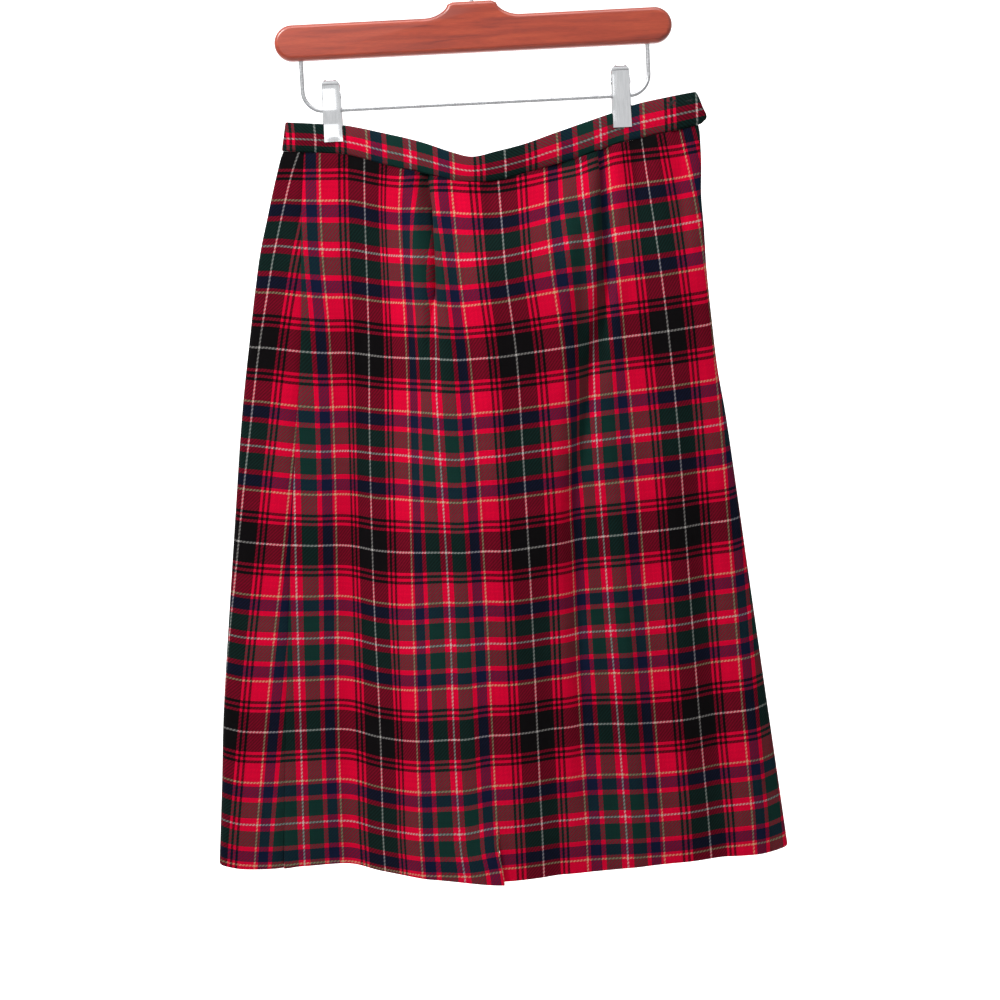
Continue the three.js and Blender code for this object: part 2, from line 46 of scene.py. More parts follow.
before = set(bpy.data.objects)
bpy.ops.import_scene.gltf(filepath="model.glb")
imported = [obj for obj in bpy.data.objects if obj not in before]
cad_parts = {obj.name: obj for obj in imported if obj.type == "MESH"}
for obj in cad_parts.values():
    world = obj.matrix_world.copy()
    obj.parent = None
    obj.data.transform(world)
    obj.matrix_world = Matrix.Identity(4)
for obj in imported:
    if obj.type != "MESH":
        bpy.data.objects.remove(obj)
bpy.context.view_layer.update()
MM = 0.001


# ---------- tables of sizes, in millimetres ----------
def table(columns, *rows):
    """A table as a dict of columns."""
    return {name: np.array([row[k] for row in rows], float) for k, name in enumerate(columns.split())}


def each(columns):
    """The rows of a table, each as a dict."""
    return [dict(zip(columns, values)) for values in zip(*columns.values())]


BAND = table(
    "x top bottom",
    (-176, -161.4, -186.9),
    (-138, -165, -190.5),
    (-118, -167.3, -192.8),
    (-87, -175.2, -203),
    (-52, -185.4, -212.7),
    (-22, -197, -221.3),
    (-6, -201, -223.2),
    (15, -197.4, -222.6),
    (42, -191.6, -217.2),
    (67, -184, -211),
    (88, -177.7, -206.3),
    (122, -167.7, -196),
    (141, -161.8, -192),
    (175, -156.1, -186.5),
    (206, -152, -180.6),
)
SIDES = table(
    "z left right",
    (-181, -174.4, 198.6),
    (-215, -185, 199),
    (-245, -193.4, 197.8),
    (-275, -201.6, 199.2),
    (-310, -208.7, 200),
    (-357, -217, 203),
    (-402, -224.7, 206.6),
    (-445, -231, 212.5),
    (-518, -240.4, 220.3),
    (-592, -249.8, 227.9),
    (-695, -262.5, 238.7),
    (-764, -268.6, 246),
    (-852, -277, 255.3),
)
WAIST_OPEN = table(
    "x front back",
    (-176, 0, 0),
    (-150, -0.35, -0.35),
    (-130, -0.45, -0.45),
    (-110, -0.2, -0.3),
    (-60, 3.6, 2.6),
    (-5, 7.2, 5),
    (60, 4, 2.8),
    (110, -0.2, -0.3),
    (130, -0.45, -0.45),
    (150, -0.1, -0.2),
    (178, 1.2, 0.4),
    (206, 2, 0.6),
)
HEM_OPEN = table(
    "across front back",
    (-1, 2, 0),
    (-0.92, 4, 6),
    (-0.7, 7, 16),
    (-0.55, 6, 22),
    (-0.43, 14.5, 27),
    (-0.26, 30, 31),
    (-0.02, 40.5, 29),
    (0.19, 38, 31),
    (0.47, 30.5, 29),
    (0.77, 16.5, 17),
    (0.94, 4, 6),
    (1, 1, 0),
)
OPENING = table(
    "drop share",
    (0, 0),
    (0.06, 0.1),
    (0.2, 0.4),
    (0.4, 0.66),
    (0.7, 0.88),
    (1, 1),
)
HEM = table(
    "x front back",
    (-277, -840, -840),
    (-255, -846, -845),
    (-200, -846, -849),
    (-157, -846, -850),
    (-125, -852, -851),
    (-80, -857.4, -852),
    (-15, -860, -853),
    (41, -857.8, -853),
    (115, -856.6, -853),
    (195, -855.5, -852),
    (240, -854.6, -851),
    (256, -850, -850),
)
SEAMS = table(
    "drop left wrap",
    (0, -157.5, 20),
    (0.1, -164, 25),
    (0.25, -170, 33),
    (0.5, -188, 44),
    (0.75, -203, 54),
    (1, -215.5, 62),
)
# Flanks of the large folds: each lifts the cloth on its +X side outwards by its rise.
FLANKS = {
    "front": table(
        "waist middle hem width high low foot",
        (-50, -67, -80, 30, 13, 10, 0),
        (98, 64, 58, 32, -13, -10, -3),
        (-150, -190, -214, 26, -1, -2.5, -3),
        (150, 168, 190, 34, 2, 3, 4),
    ),
    "back": table(
        "waist middle hem width high low foot",
        (-62, -84, -104, 34, 8, 7, 7),
        (78, 88, 96, 36, -8, -8, -7),
        (6, -4, -12, 40, -3, -5, -8),
        (40, 42, 40, 40, 3, 5, 8),
    ),
}
FLANK_START = 0.13
FOLD_ENDS = {"left": (-186.9, -840), "right": (-182, -850)}
FOLD_RADIUS = (1.9, 5.5)  # of the side folds, at the waist and at the hem
EDGE_BLEND = 14
BEND_WEIGHT = 9
SEAM_GAP = 0.4
SLIT = {"waist": 6, "hem": -15, "share": 0.085, "gap": 0.9, "forward": 5, "lap": 4.6, "droop": 2.2}
# The lap starts this share of the way down the slit, so its gap lies open above that.
SLIT_SWING, SLIT_LAP_FROM, SLIT_REACH = 0.75, 0.3, 36


def ease(a, b, v):
    """Smooth step of v from 0 at a to 1 at b."""
    k = np.clip((np.asarray(v, float) - a) / (b - a), 0, 1)
    return k * k * (3 - 2 * k)


def mix(a, b, k):
    return a + (b - a) * k


def look(rows, key, at, column):
    """Smooth values of one column of a table at values of its key column."""
    x, y = rows[key], rows[column]
    slope = np.empty_like(y)
    slope[1:-1] = (y[2:] - y[:-2]) / (x[2:] - x[:-2])
    slope[0], slope[-1] = (y[1] - y[0]) / (x[1] - x[0]), (y[-1] - y[-2]) / (x[-1] - x[-2])
    if x[-1] < x[0]:
        x, y, slope = x[::-1], y[::-1], slope[::-1]
    at = np.clip(np.asarray(at, float), x[0], x[-1])
    i = np.clip(np.searchsorted(x, at, side="right") - 1, 0, len(x) - 2)
    span = x[i + 1] - x[i]
    k = (at - x[i]) / span
    k2, k3 = k * k, k * k * k
    return (
        y[i] * (2 * k3 - 3 * k2 + 1)
        + y[i + 1] * (3 * k2 - 2 * k3)
        + span * (slope[i] * (k3 - 2 * k2 + k) + slope[i + 1] * (k3 - k2))
    )


def by_drop(row, names, drop):
    """A value of a row that runs straight from the waist to the middle and on to the hem."""
    waist, middle, hem = (row[name] for name in names.split())
    return np.where(drop < 0.5, mix(waist, middle, drop * 2), mix(middle, hem, drop * 2 - 1))


# ---------- the skirt's form ----------
OUTLINE_STEPS = 900
WAY_STEP = 0.4  # to both sides of a point, to find which way the outline runs there


def folds(side, drop, x):
    """How far the large folds lift one wall outwards."""
    total = np.zeros_like(x)
    for flank in each(FLANKS[side]):
        centre = by_drop(flank, "waist middle hem", drop)
        half = flank["width"] / 2
        total += by_drop(flank, "high low foot", drop) * ease(centre - half, centre + half, x)
    return total * ease(0, FLANK_START, drop)


def depth_at(side, drop, x, left, right):
    """Distance of one wall from the middle plane."""
    radius = mix(*FOLD_RADIUS, drop)
    inward = np.maximum(np.minimum(x - left, right - x), 0)
    cap = np.where(inward < radius, np.sqrt(np.maximum(0, radius**2 - (radius - inward) ** 2)), radius)
    near = 1 - np.clip(inward / EDGE_BLEND, 0, 1)
    begin = np.sqrt(1 - near**2)
    across = (2 * x - left - right) / (right - left)
    share = look(OPENING, "drop", drop, "share")
    open_ = mix(look(WAIST_OPEN, "x", x, side), look(HEM_OPEN, "across", across, side), share)
    return cap + begin * (open_ + folds(side, drop, x))


class Outline:
    """Plan of the skirt at one drop, from the left fold along the front and home along the back."""

    def __init__(self, drop):
        self.drop = drop
        left, right = (
            float(look(SIDES, "z", mix(*FOLD_ENDS[side], drop), side)) for side in ("left", "right")
        )
        self.left, self.right = left, right
        turn = np.linspace(0, math.pi, OUTLINE_STEPS + 1)[:-1]
        x_front = mix(left, right, (1 - np.cos(turn)) / 2)
        x_back = mix(left, right, (1 + np.cos(turn)) / 2)
        x = np.concatenate([x_front, x_back, [left]])
        y = np.concatenate([
            -depth_at("front", drop, x_front, left, right),
            depth_at("back", drop, x_back, left, right),
            [0],
        ])
        y[0] = 0
        step = np.stack([np.diff(x), np.diff(y)])
        length = np.hypot(*step)
        after = np.roll(step, -1, axis=1)
        turn = np.abs(np.arctan2(step[0] * after[1] - step[1] * after[0], (step * after).sum(0)))
        self.x, self.y = x, y
        self.along = np.concatenate([[0], np.cumsum(length + BEND_WEIGHT * turn)])
        self.whole = self.along[-1]

    def place(self, side, x):
        """Place along the outline of an x on one half."""
        half = slice(0, OUTLINE_STEPS + 1) if side == "front" else slice(OUTLINE_STEPS, None)
        xs, along = self.x[half], self.along[half]
        return float(np.interp(x, xs, along) if side == "front" else np.interp(-x, -xs, along))

    def points(self, at):
        at = np.mod(at, self.whole)
        return np.stack([np.interp(at, self.along, self.x), np.interp(at, self.along, self.y)], axis=1)

    def marks(self):
        """Places where pieces meet or are shaped."""
        drop = self.drop
        return {
            "left_seam": self.place("front", look(SEAMS, "drop", drop, "left")),
            "dart_left": self.place("front", dart_x("left", drop)),
            "slit": self.place("front", mix(SLIT["waist"], SLIT["hem"], drop)),
            "dart_right": self.place("front", dart_x("right", drop)),
            "right_seam": self.place("back", self.right - look(SEAMS, "drop", drop, "wrap")),
        }


# Stitched lines of the waist darts, carried on down the front as plain lines.
DARTS = {
    "left": table("drop x", (0, -48), (0.06, -47), (0.14, -50), (0.3, -58), (0.6, -72), (1, -80)),
    "right": table("drop x", (0, 106), (0.06, 107), (0.14, 106), (0.3, 90), (0.5, 76), (1, 68)),
}


def dart_x(side, drop):
    return float(look(DARTS[side], "drop", drop, "x"))


class Panel:
    """Points, outward ways and level lengths of one panel on a fine grid of drops and columns."""

    def __init__(self, segments, drops):
        # segments: (mark, nudge, mark, nudge, cells), one after the other round the outline
        self.drops = drops
        outlines = [Outline(drop) for drop in drops]
        places = []
        for outline in outlines:
            marks = outline.marks()
            row, cuts = [], []
            for a, nudge_a, b, nudge_b, cells in segments:
                start, stop = marks[a] + nudge_a, marks[b] + nudge_b
                if stop < start:
                    stop += outline.whole
                at = start + (stop - start) * spread(cells)
                row.extend(at if not row or at[0] - row[-1] > 1e-6 else at[1:])
                cuts.append(len(row) - 1)
            places.append(row)
        self.cuts = cuts
        plan, ahead, behind = (
            np.array([outline.points(np.array(row) + step) for outline, row in zip(outlines, places)])
            for step in (0, WAY_STEP, -WAY_STEP)
        )
        way = ahead - behind
        way /= np.linalg.norm(way, axis=2, keepdims=True)
        self.out = np.stack([way[..., 1], -way[..., 0]], axis=2)
        x_waist, x_hem, y_hem = plan[0, :, 0], plan[-1, :, 0], plan[-1, :, 1]
        top = look(BAND, "x", x_waist, "bottom") - SEAM_GAP
        hem = np.where(y_hem < 0, look(HEM, "x", x_hem, "front"), look(HEM, "x", x_hem, "back"))
        drop = np.array(drops)[:, None]
        z = mix(top[None, :], hem[None, :], drop)
        self.points = np.concatenate([plan, z[..., None]], axis=2)
        self.length = np.concatenate([
            np.zeros((len(drops), 1)),
            np.cumsum(np.linalg.norm(np.diff(plan, axis=1), axis=2), axis=1),
        ], axis=1)

    def lift(self, amount):
        """Moves every point outwards, level, by an array of amounts."""
        self.points[..., :2] += self.out * amount[..., None]


def spread(cells):
    """Shares from 0 to 1, closer together at both ends, where a seam is; 0 cells make a single one."""
    if cells == 0:
        return np.array([0.0, 1.0])
    inner = np.linspace(0, 1, cells + 1)
    fine = 0.28 / cells
    return np.concatenate([[0, fine], inner[1:-1], [1 - fine, 1]])


# ---------- the tartan ----------
# Threads of half the sett, from the white line in black to the white line in red, and its width in mm.
HALF_SETT = 87.0
SETT = (
    ("white", 1), ("black", 20), ("red", 3), ("black", 3), ("red", 3), ("black", 3), ("red", 20),
    ("yellow", 2), ("red", 3), ("navy", 12), ("red", 5), ("green", 17), ("red", 6), ("white", 1),
)
CROSSWISE = 2 * HALF_SETT / 153  # cloth coordinate per mm across: the sett is 153 mm wide
YELLOW = 47.2                    # yellow line from the white line in black

# Lines of the warp on the front: cloth coordinate, then x at each drop. The numbers in WARP, BACK_LINE
# and ROW_SAG were worked out by a separate fitting program and rounded. They aren't sizes chosen by hand.
WARP_LINES = {
    "w0": -HALF_SETT, "y0": -YELLOW, "a": 0, "y1": YELLOW, "w1": HALF_SETT,
    "y2": 2 * HALF_SETT - YELLOW, "b": 2 * HALF_SETT, "y3": 2 * HALF_SETT + YELLOW,
    "w2": 3 * HALF_SETT, "y4": 4 * HALF_SETT - YELLOW, "c": 4 * HALF_SETT,
}
WARP = table(
    "drop w0 y0 a y1 w1 y2 b y3 w2 y4 c beyond",
    (0, -181, -143, -103.5, -71.5, -48, -26, 16, 57.5, 90.5, 116, 146.5, 1.37),
    (0.06, -182.5, -145, -105.5, -75, -49, -24.5, 17, 57, 91, 117.5, 150.5, 1.26),
    (0.14, -183, -146, -107, -75.5, -50, -22, 18.5, 59, 93.5, 119.5, 156, 1.2),
    (0.25, -182, -144, -109, -75, -49, -17, 24, 65, 94.5, 122.5, 162, 1.18),
    (0.4, -183, -145.5, -113.5, -77.5, -48.5, -14.5, 25.5, 67, 93, 127, 167.5, 1.18),
    (0.6, -188, -150.5, -117, -80.5, -47.5, -14, 26.5, 66, 96, 131, 171.5, 1.16),
    (0.8, -192, -157, -118, -83.5, -49.5, -14.5, 26, 66, 100.5, 135, 176, 1.15),
    (1, -196.5, -160.5, -122, -86.5, -49, -15, 26, 67, 104.5, 139, 182.5, 1.15),
)
# Cloth taken up by each waist dart: its line, cloth swallowed, step of the rows, and where it ends.
TAKE_UP = {
    "left": {"before": "y1", "after": "y2", "swallowed": 26, "step": 4.5, "end": 0.15},
    "right": {"before": "w2", "after": "y4", "swallowed": 12.5, "step": 2, "end": 0.19},
}
# Cloth coordinate along, at the band's seam and at the hem, from the lowest white line in red.
WEFT_TOP = table("x along", (-176, 612), (-157, 611), (-105, 606), (-10, 594), (146, 607), (199, 609))
WEFT_HEM = table("x along", (-277, -43), (-215, -43), (-50, -46), (-15, -53), (182, -51.5), (256, -51))
WEFT_BOW = 5.5
# White line in black on the back panel, where it shows at the left: distance from the left seam.
BACK_LINE = table(
    "drop away", (0, 4.5), (0.03, 10), (0.1, 19), (0.16, 27), (0.26, 37), (0.4, 43), (0.57, 49.5),
    (0.7, 56), (0.85, 63), (1, 70),
)
# How far the rows of checks hang below their even places, by the share across the front.
ROW_PLACES = {
    "fold_left": -0.93, "a": -0.65, "b": -0.35, "c": -0.15, "d": 0.1, "e": 0.35, "f": 0.6, "fold_right": 0.9,
}
ROW_SAG = table(
    "drop fold_left a b c d e f fold_right",
    (0, -5, -4, -3, -4, -3, -4, -8, -5),
    (0.07, -9, -6, -4, -4.5, -4, -7, -7, -6.5),
    (0.14, -9, -3, -2, -2.5, -5, -7, -5.5, -6),
    (0.25, -7.5, -0.5, -0.5, -3, -3.5, -2.5, -2, -3),
    (0.4, -7, 1, -1, -2, -2, 0, 0, -1),
    (0.6, -6, -1, 0, -7, -2, -0.5, 0.5, -2),
    (0.8, -4, -2, 0, -5, -3, -1.5, 2.5, -0.5),
    (1, -1, 1, 2, 0.5, 1, 2, 4, 0.5),
)


def weft(points, drops):
    """Cloth coordinate along the cloth at every point of a panel."""
    top = look(WEFT_TOP, "x", points[0, :, 0], "along")[None, :]
    hem = look(WEFT_HEM, "x", points[-1, :, 0], "along")[None, :]
    drop = np.array(drops)[:, None]
    even = HALF_SETT + mix(top, hem, drop) + WEFT_BOW * 4 * drop * (1 - drop)
    places = np.array(list(ROW_PLACES.values()))
    sags = np.stack([look(ROW_SAG, "drop", np.array(drops), name) for name in ROW_PLACES], axis=1)
    for i, outline in enumerate(Outline(d) for d in drops):
        x, y = points[i, :, 0], points[i, :, 1]
        across = (2 * x - outline.left - outline.right) / (outline.right - outline.left)
        front = look({"place": places, "sag": sags[i]}, "place", across, "sag")
        back = mix(sags[i, 0], sags[i, -1], (across + 1) / 2)
        even[i] += mix(front, back, ease(-3, 3, y))
    return even


def front_cloth(panel):
    """Cloth coordinates of the front: across, along, and the values right of each dart's line."""
    names = list(WARP_LINES)
    values = np.array([WARP_LINES[n] for n in names])
    along = weft(panel.points, panel.drops)
    across = np.zeros_like(along)
    other_side = {}
    last_front = np.argmax(panel.points[..., 0], axis=1)
    columns = {"left": panel.cuts[0], "right": panel.cuts[3]}
    for i, drop in enumerate(panel.drops):
        x, s = panel.points[i, :, 0], panel.length[i]
        end = last_front[i] + 1
        xs = np.array([float(look(WARP, "drop", drop, n)) for n in names])
        slope_out = float(look(WARP, "drop", drop, "beyond"))
        at = np.interp(xs, x[:end], s[:end])
        at[xs < x[0]] = s[0] - (x[0] - xs[xs < x[0]])
        near = {"at": at, "value": values}
        inside = look(near, "at", s, "value")
        inside = np.where(s < at[0], values[0] + (s - at[0]) * CROSSWISE, inside)
        inside = np.where(s > at[-1], values[-1] + (s - at[-1]) * slope_out, inside)
        across[i] = inside
        for side, dart in TAKE_UP.items():
            left = 1 - ease(0, dart["end"], drop)
            if left <= 0:
                continue
            column = columns[side]
            line = s[column]
            a, b = (at[names.index(dart[key])] for key in ("before", "after"))
            before = np.clip((s - a) / (line - a), 0, 1) * (s <= line + 1e-9)
            after = np.clip((b - s) / (b - line), 0, 1) * (s >= line - 1e-9)
            half = dart["swallowed"] / 2 * left
            right_value = (inside[column] + half, along[i, column] + dart["step"] / 2 * left)
            other_side.setdefault(column, {})[i] = right_value
            after[column] = 0
            across[i] += half * (after - before)
            along[i] += dart["step"] / 2 * left * (after - before)
    return across, along, other_side


def back_cloth(panel):
    """Cloth coordinates of the back panel, which ends at the left seam."""
    along = weft(panel.points, panel.drops)
    away = panel.length[:, -1:] - panel.length
    line = np.array([float(look(BACK_LINE, "drop", d, "away")) for d in panel.drops])[:, None]
    return (line - away) * CROSSWISE, along, {}


# ---------- small creases --------------------------
# x at the waist, middle and hem, half width, height outwards, and the drops between which it shows.
CREASES = {
    "front": table(
        "waist middle hem width height start end",
        (-50, -46, -44, 4.6, -8, -0.05, 0.3),
        (-39, -36, -40, 9, 2.2, -0.1, 0.42),
        (-60, -58, -60, 7, 4.5, -0.1, 0.3),
        (-90, -94, -98, 14, -3.2, -0.02, 0.6),
        (114, 98, 80, 4.6, -7.5, -0.05, 0.32),
        (101, 86, 70, 7, 4.2, -0.1, 0.34),
        (124, 110, 96, 8, 2.2, -0.1, 0.3),
        (127, 67, 7, 7, -4.6, 0.12, 0.54),
        (76, 71, 66, 9, -3, 0.38, 1.0),
        (-143, -150, -158, 6, 1.4, -0.2, 0.1),
        (-120, -124, -130, 5, -1.3, -0.1, 0.12),
        (-96, -100, -108, 6, 1.2, -0.2, 0.14),
        (-12, -12, -12, 7, 1.4, -0.2, 0.1),
        (8, 4, 0, 6, -1.3, -0.1, 0.09),
        (40, 36, 30, 8, 1.4, -0.2, 0.12),
        (70, 60, 50, 7, -1.3, -0.1, 0.13),
        (140, 146, 150, 5, -1.8, -0.1, 0.14),
        (160, 166, 172, 7, 1.8, -0.2, 0.2),
        (180, 186, 196, 5, -1.6, -0.1, 0.2),
        (0, 2, 4, 14, 2.4, 0.08, 0.6),
        (-30, -33, -40, 9, 2.4, 0.3, 0.95),
        (-110, -128, -150, 14, -2.4, 0.1, 1.3),
        (-64, -70, -84, 12, 2, 0.25, 1.2),
        (20, 38, 42, 13, -4, 0.5, 1.15),
        (100, 107, 112, 9, 2.6, 0.25, 1.1),
        (150, 160, 164, 15, 2.4, 0.2, 1.2),
        (170, 183, 195, 13, -5, 0.3, 1.25),
        (200, 214, 230, 13, 3.4, 0.4, 1.5),
    ),
    "back": table(
        "waist middle hem width height start end",
        (-62, -80, -100, 3.2, -2.2, -0.1, 0.2),
        (80, 86, 92, 3.2, -2.2, -0.1, 0.2),
        (-130, -136, -150, 6, -1.0, -0.2, 0.12),
        (-90, -98, -110, 7, 1.0, -0.2, 0.16),
        (-30, -28, -30, 8, -0.9, -0.2, 0.12),
        (20, 14, 10, 7, 0.9, -0.2, 0.12),
        (50, 54, 60, 8, -1.0, -0.2, 0.14),
        (120, 126, 140, 6, 1.0, -0.2, 0.12),
        (-140, -160, -190, 16, -1.8, 0.15, 1.3),
        (-20, -40, -60, 20, 1.6, 0.2, 1.2),
        (60, 40, 20, 18, -1.6, 0.3, 1.3),
        (130, 150, 180, 18, 1.7, 0.2, 1.3),
    ),
}
HEM_TUCK, HEM_TURN = 4, (0.93, 1.02)            # how far the turned-up hem tucks in, and between which drops
WAIST_CLEAR, CLEAR_ENDS = 1.1, (0.22, 0.34)     # least depth of a wall, and where that stops to matter
CLEAR_FALL, CALM_EDGE = 16, 18                  # by how much it stops, and width of the smooth side folds
DART_DEPTH, DART_REACH, DART_FADE = 6.5, 1.8, (0.12, 0.3)


def creases(panel, sewn=0):
    """Height of the small creases at every point of a panel, with the roll of its sewn lines."""
    x, y = panel.points[..., 0], panel.points[..., 1]
    drop = np.array(panel.drops)[:, None]
    total = np.zeros_like(x)
    for side, t in CREASES.items():
        here = (y < 0) if side == "front" else (y >= 0)
        for crease in each(t):
            centre = by_drop(crease, "waist middle hem", drop)
            middle, half = (crease["start"] + crease["end"]) / 2, (crease["end"] - crease["start"]) / 2
            fade = np.clip(1 - ((drop - middle) / half) ** 2, 0, 1)
            total += here * crease["height"] * fade * np.exp(-(((x - centre) / crease["width"]) ** 2))
    # The hem's turned-up depth is stiffer and tucks in, and near the waist the two sides stay clear.
    total -= HEM_TUCK * ease(*HEM_TURN, drop)
    total = np.maximum(total + sewn, WAIST_CLEAR - np.abs(y) - CLEAR_FALL * ease(*CLEAR_ENDS, drop))
    edge = np.minimum(x - x.min(axis=1, keepdims=True), x.max(axis=1, keepdims=True) - x)
    return total * ease(0, CALM_EDGE, edge)


def seam_roll(panel, columns, depth=0.9, reach=2.6):
    """Both edges of a seam turn in a little, which draws its line."""
    total = np.zeros(panel.length.shape)
    for column in columns:
        away = np.abs(panel.length - panel.length[:, column : column + 1])
        total -= depth * np.exp(-((away / reach) ** 2))
    return total


# ---------- meshes ----------
def cloth_piece(name, rows, across, along, wall, slots, beyond=None, opened=None, thin=None):
    """A sheet on a grid of points in mm, with its cloth coordinates in a UV map and then its wall."""
    high, wide = rows.shape[:2]
    bm = bmesh.new()
    bmesh.ops.create_grid(bm, x_segments=wide - 1, y_segments=high - 1, size=0.5)
    bm.verts.ensure_lookup_table()
    upward = rows[::-1] * MM
    for vert, point in zip(bm.verts, upward.reshape(-1, 3)):
        vert.co = point
    cloth = bm.loops.layers.uv.new("cloth")
    beyond = beyond or {}
    for face in bm.faces:
        first = min(loop.vert.index % wide for loop in face.loops)
        for loop in face.loops:
            up, column = divmod(loop.vert.index, wide)
            row = high - 1 - up
            value = (across[row, column], along[row, column])
            if column == first and column in beyond:
                value = beyond[column].get(row, value)
            loop[cloth].uv = value
    if opened is not None:
        gone = []
        for face in bm.faces:
            column = min(loop.vert.index % wide for loop in face.loops)
            row = high - 1 - max(loop.vert.index // wide for loop in face.loops)
            if opened(row, column):
                gone.append(face)
        bmesh.ops.delete(bm, geom=gone, context="FACES")
    if thin is not None:
        share = bm.verts.layers.float.new("wall_share")
        for vert, value in zip(bm.verts, thin[::-1].reshape(-1)):
            vert[share] = value
    mesh = bpy.data.meshes.new(name)
    bm.to_mesh(mesh)
    bm.free()
    mesh.shade_smooth()
    piece = link(name, mesh, slots)
    solid = piece.modifiers.new("wall", "SOLIDIFY")
    solid.thickness = wall * MM
    solid.offset = 0
    if thin is not None:
        group = piece.vertex_groups.new(name="wall")
        values = mesh.attributes["wall_share"].data
        by_share = {}
        for k, item in enumerate(values):
            by_share.setdefault(round(item.value, 3), []).append(k)
        for value, indices in by_share.items():
            group.add(indices, value, "REPLACE")
        mesh.attributes.remove(mesh.attributes["wall_share"])
        solid.vertex_group = "wall"
    return piece


def link(name, mesh, materials):
    piece = bpy.data.objects.new(name, mesh)
    bpy.context.scene.collection.objects.link(piece)
    for material in materials:
        mesh.materials.append(material)
    return piece


def wire_piece(name, path, radius, material, round_steps=8):
    """A closed round wire along a path of points in mm."""
    curve = bpy.data.curves.new(name, "CURVE")
    curve.dimensions = "3D"
    curve.bevel_depth = radius * MM
    curve.bevel_resolution = round_steps // 2
    curve.use_fill_caps = True
    spline = curve.splines.new("POLY")
    spline.points.add(len(path) - 1)
    for point, place in zip(spline.points, path):
        point.co = (*(Vector(place) * MM), 1)
    maker = bpy.data.objects.new(name + "_path", curve)
    bpy.context.scene.collection.objects.link(maker)
    bpy.context.view_layer.update()
    mesh = bpy.data.meshes.new_from_object(maker)
    bpy.data.objects.remove(maker)
    mesh.materials.clear()
    mesh.shade_smooth()
    mesh.name = name
    return link(name, mesh, [material])


# ---------- materials ----------
def linear(colour):
    """Linear colour of an sRGB hex value or of three sRGB shares."""
    if isinstance(colour, str):
        colour = [int(colour[k : k + 2], 16) / 255 for k in (1, 3, 5)]
    return (*(c / 12.92 if c <= 0.04045 else ((c + 0.055) / 1.055) ** 2.4 for c in colour[:3]), 1)


def put(tree, kind, settings=None, inputs=None):
    """Adds a node with its settings, its values and its links."""
    node = tree.nodes.new(kind)
    for name, value in (settings or {}).items():
        setattr(node, name, value)
    for name, value in (inputs or {}).items():
        if isinstance(value, bpy.types.NodeSocket):
            tree.links.new(value, node.inputs[name])
        else:
            node.inputs[name].default_value = value
    return node


def maths(tree, operation, *values):
    """Output of a Math node fed with sockets or numbers."""
    return put(tree, "ShaderNodeMath", {"operation": operation}, dict(enumerate(values))).outputs[0]


def blend(tree, share, first, second, kind="RGBA", **settings):
    """Output of a Mix node, of two colours or of two numbers."""
    slot, out = {"RGBA": (6, 2), "FLOAT": (2, 0)}[kind]
    inputs = {0: share, slot: first, slot + 1: second}
    return put(tree, "ShaderNodeMix", {"data_type": kind, **settings}, inputs).outputs[out]


def ranged(tree, value, low, high, start=0.0, stop=1.0):
    """Output of a Map Range node that takes start to low and stop to high."""
    ends = {"From Min": start, "From Max": stop, "To Min": low, "To Max": high}
    return put(tree, "ShaderNodeMapRange", None, {"Value": value, **ends}).outputs[0]


def noise(tree, vector, scale, detail=2.0, distortion=0.0):
    """Output of a Noise Texture node."""
    inputs = {"Vector": vector, "Scale": scale, "Detail": detail, "Distortion": distortion}
    return put(tree, "ShaderNodeTexNoise", None, inputs).outputs[0]


def scaled(tree, colour, tone):
    """Output of a colour made lighter or darker by a tone."""
    return put(tree, "ShaderNodeVectorMath", {"operation": "SCALE"}, {0: colour, "Scale": tone}).outputs[0]


def bumped(tree, height, strength, depth):
    """Output of a Bump node; its depth is in mm."""
    inputs = {"Height": height, "Strength": strength, "Distance": depth * MM}
    return put(tree, "ShaderNodeBump", None, inputs).outputs[0]


def feed(tree, shader, **outputs):
    """Links outputs to the shader's sockets of those names."""
    for name, output in outputs.items():
        tree.links.new(output, shader.inputs[name.replace("_", " ").title()])


def object_place(tree, scale=None):
    """Object coordinates, drawn out along an axis where a scale is given."""
    place = put(tree, "ShaderNodeTexCoord").outputs["Object"]
    if scale is None:
        return place
    return put(tree, "ShaderNodeMapping", None, {"Vector": place, "Scale": scale}).outputs[0]


def fresh(name, **surface):
    """An empty material with its shader and output; surface holds the shader's own values."""
    material = bpy.data.materials.get(name) or bpy.data.materials.new(name)
    material.use_nodes = True
    tree = material.node_tree
    tree.nodes.clear()
    shader = put(tree, "ShaderNodeBsdfPrincipled")
    for key, value in surface.items():
        socket = next(s for s in shader.inputs if s.name.lower() == key.replace("_", " "))
        socket.default_value = value
    put(tree, "ShaderNodeOutputMaterial", None, {"Surface": shader.outputs["BSDF"]})
    return material, tree, shader


def ramp_stops(ramp, stops):
    """Sets the stops of a colour ramp: places and linear colours."""
    elements = ramp.color_ramp.elements
    while len(elements) > 1:
        elements.remove(elements[-1])
    elements[0].position, elements[0].color = stops[0]
    for place, colour in stops[1:]:
        elements.new(place).color = colour


NEIGHBOUR_SHADE = 0.72       # how far a black thread shades a dyed one that crosses it
LIGHT_SHADE = 0.65           # the same for white yarn
HUE_SHADE = 0.6              # share of the crossing thread's hue in that shade, past its darkness
SHOW_THROUGH = 0.1           # share of the lower thread that shows beside the upper one


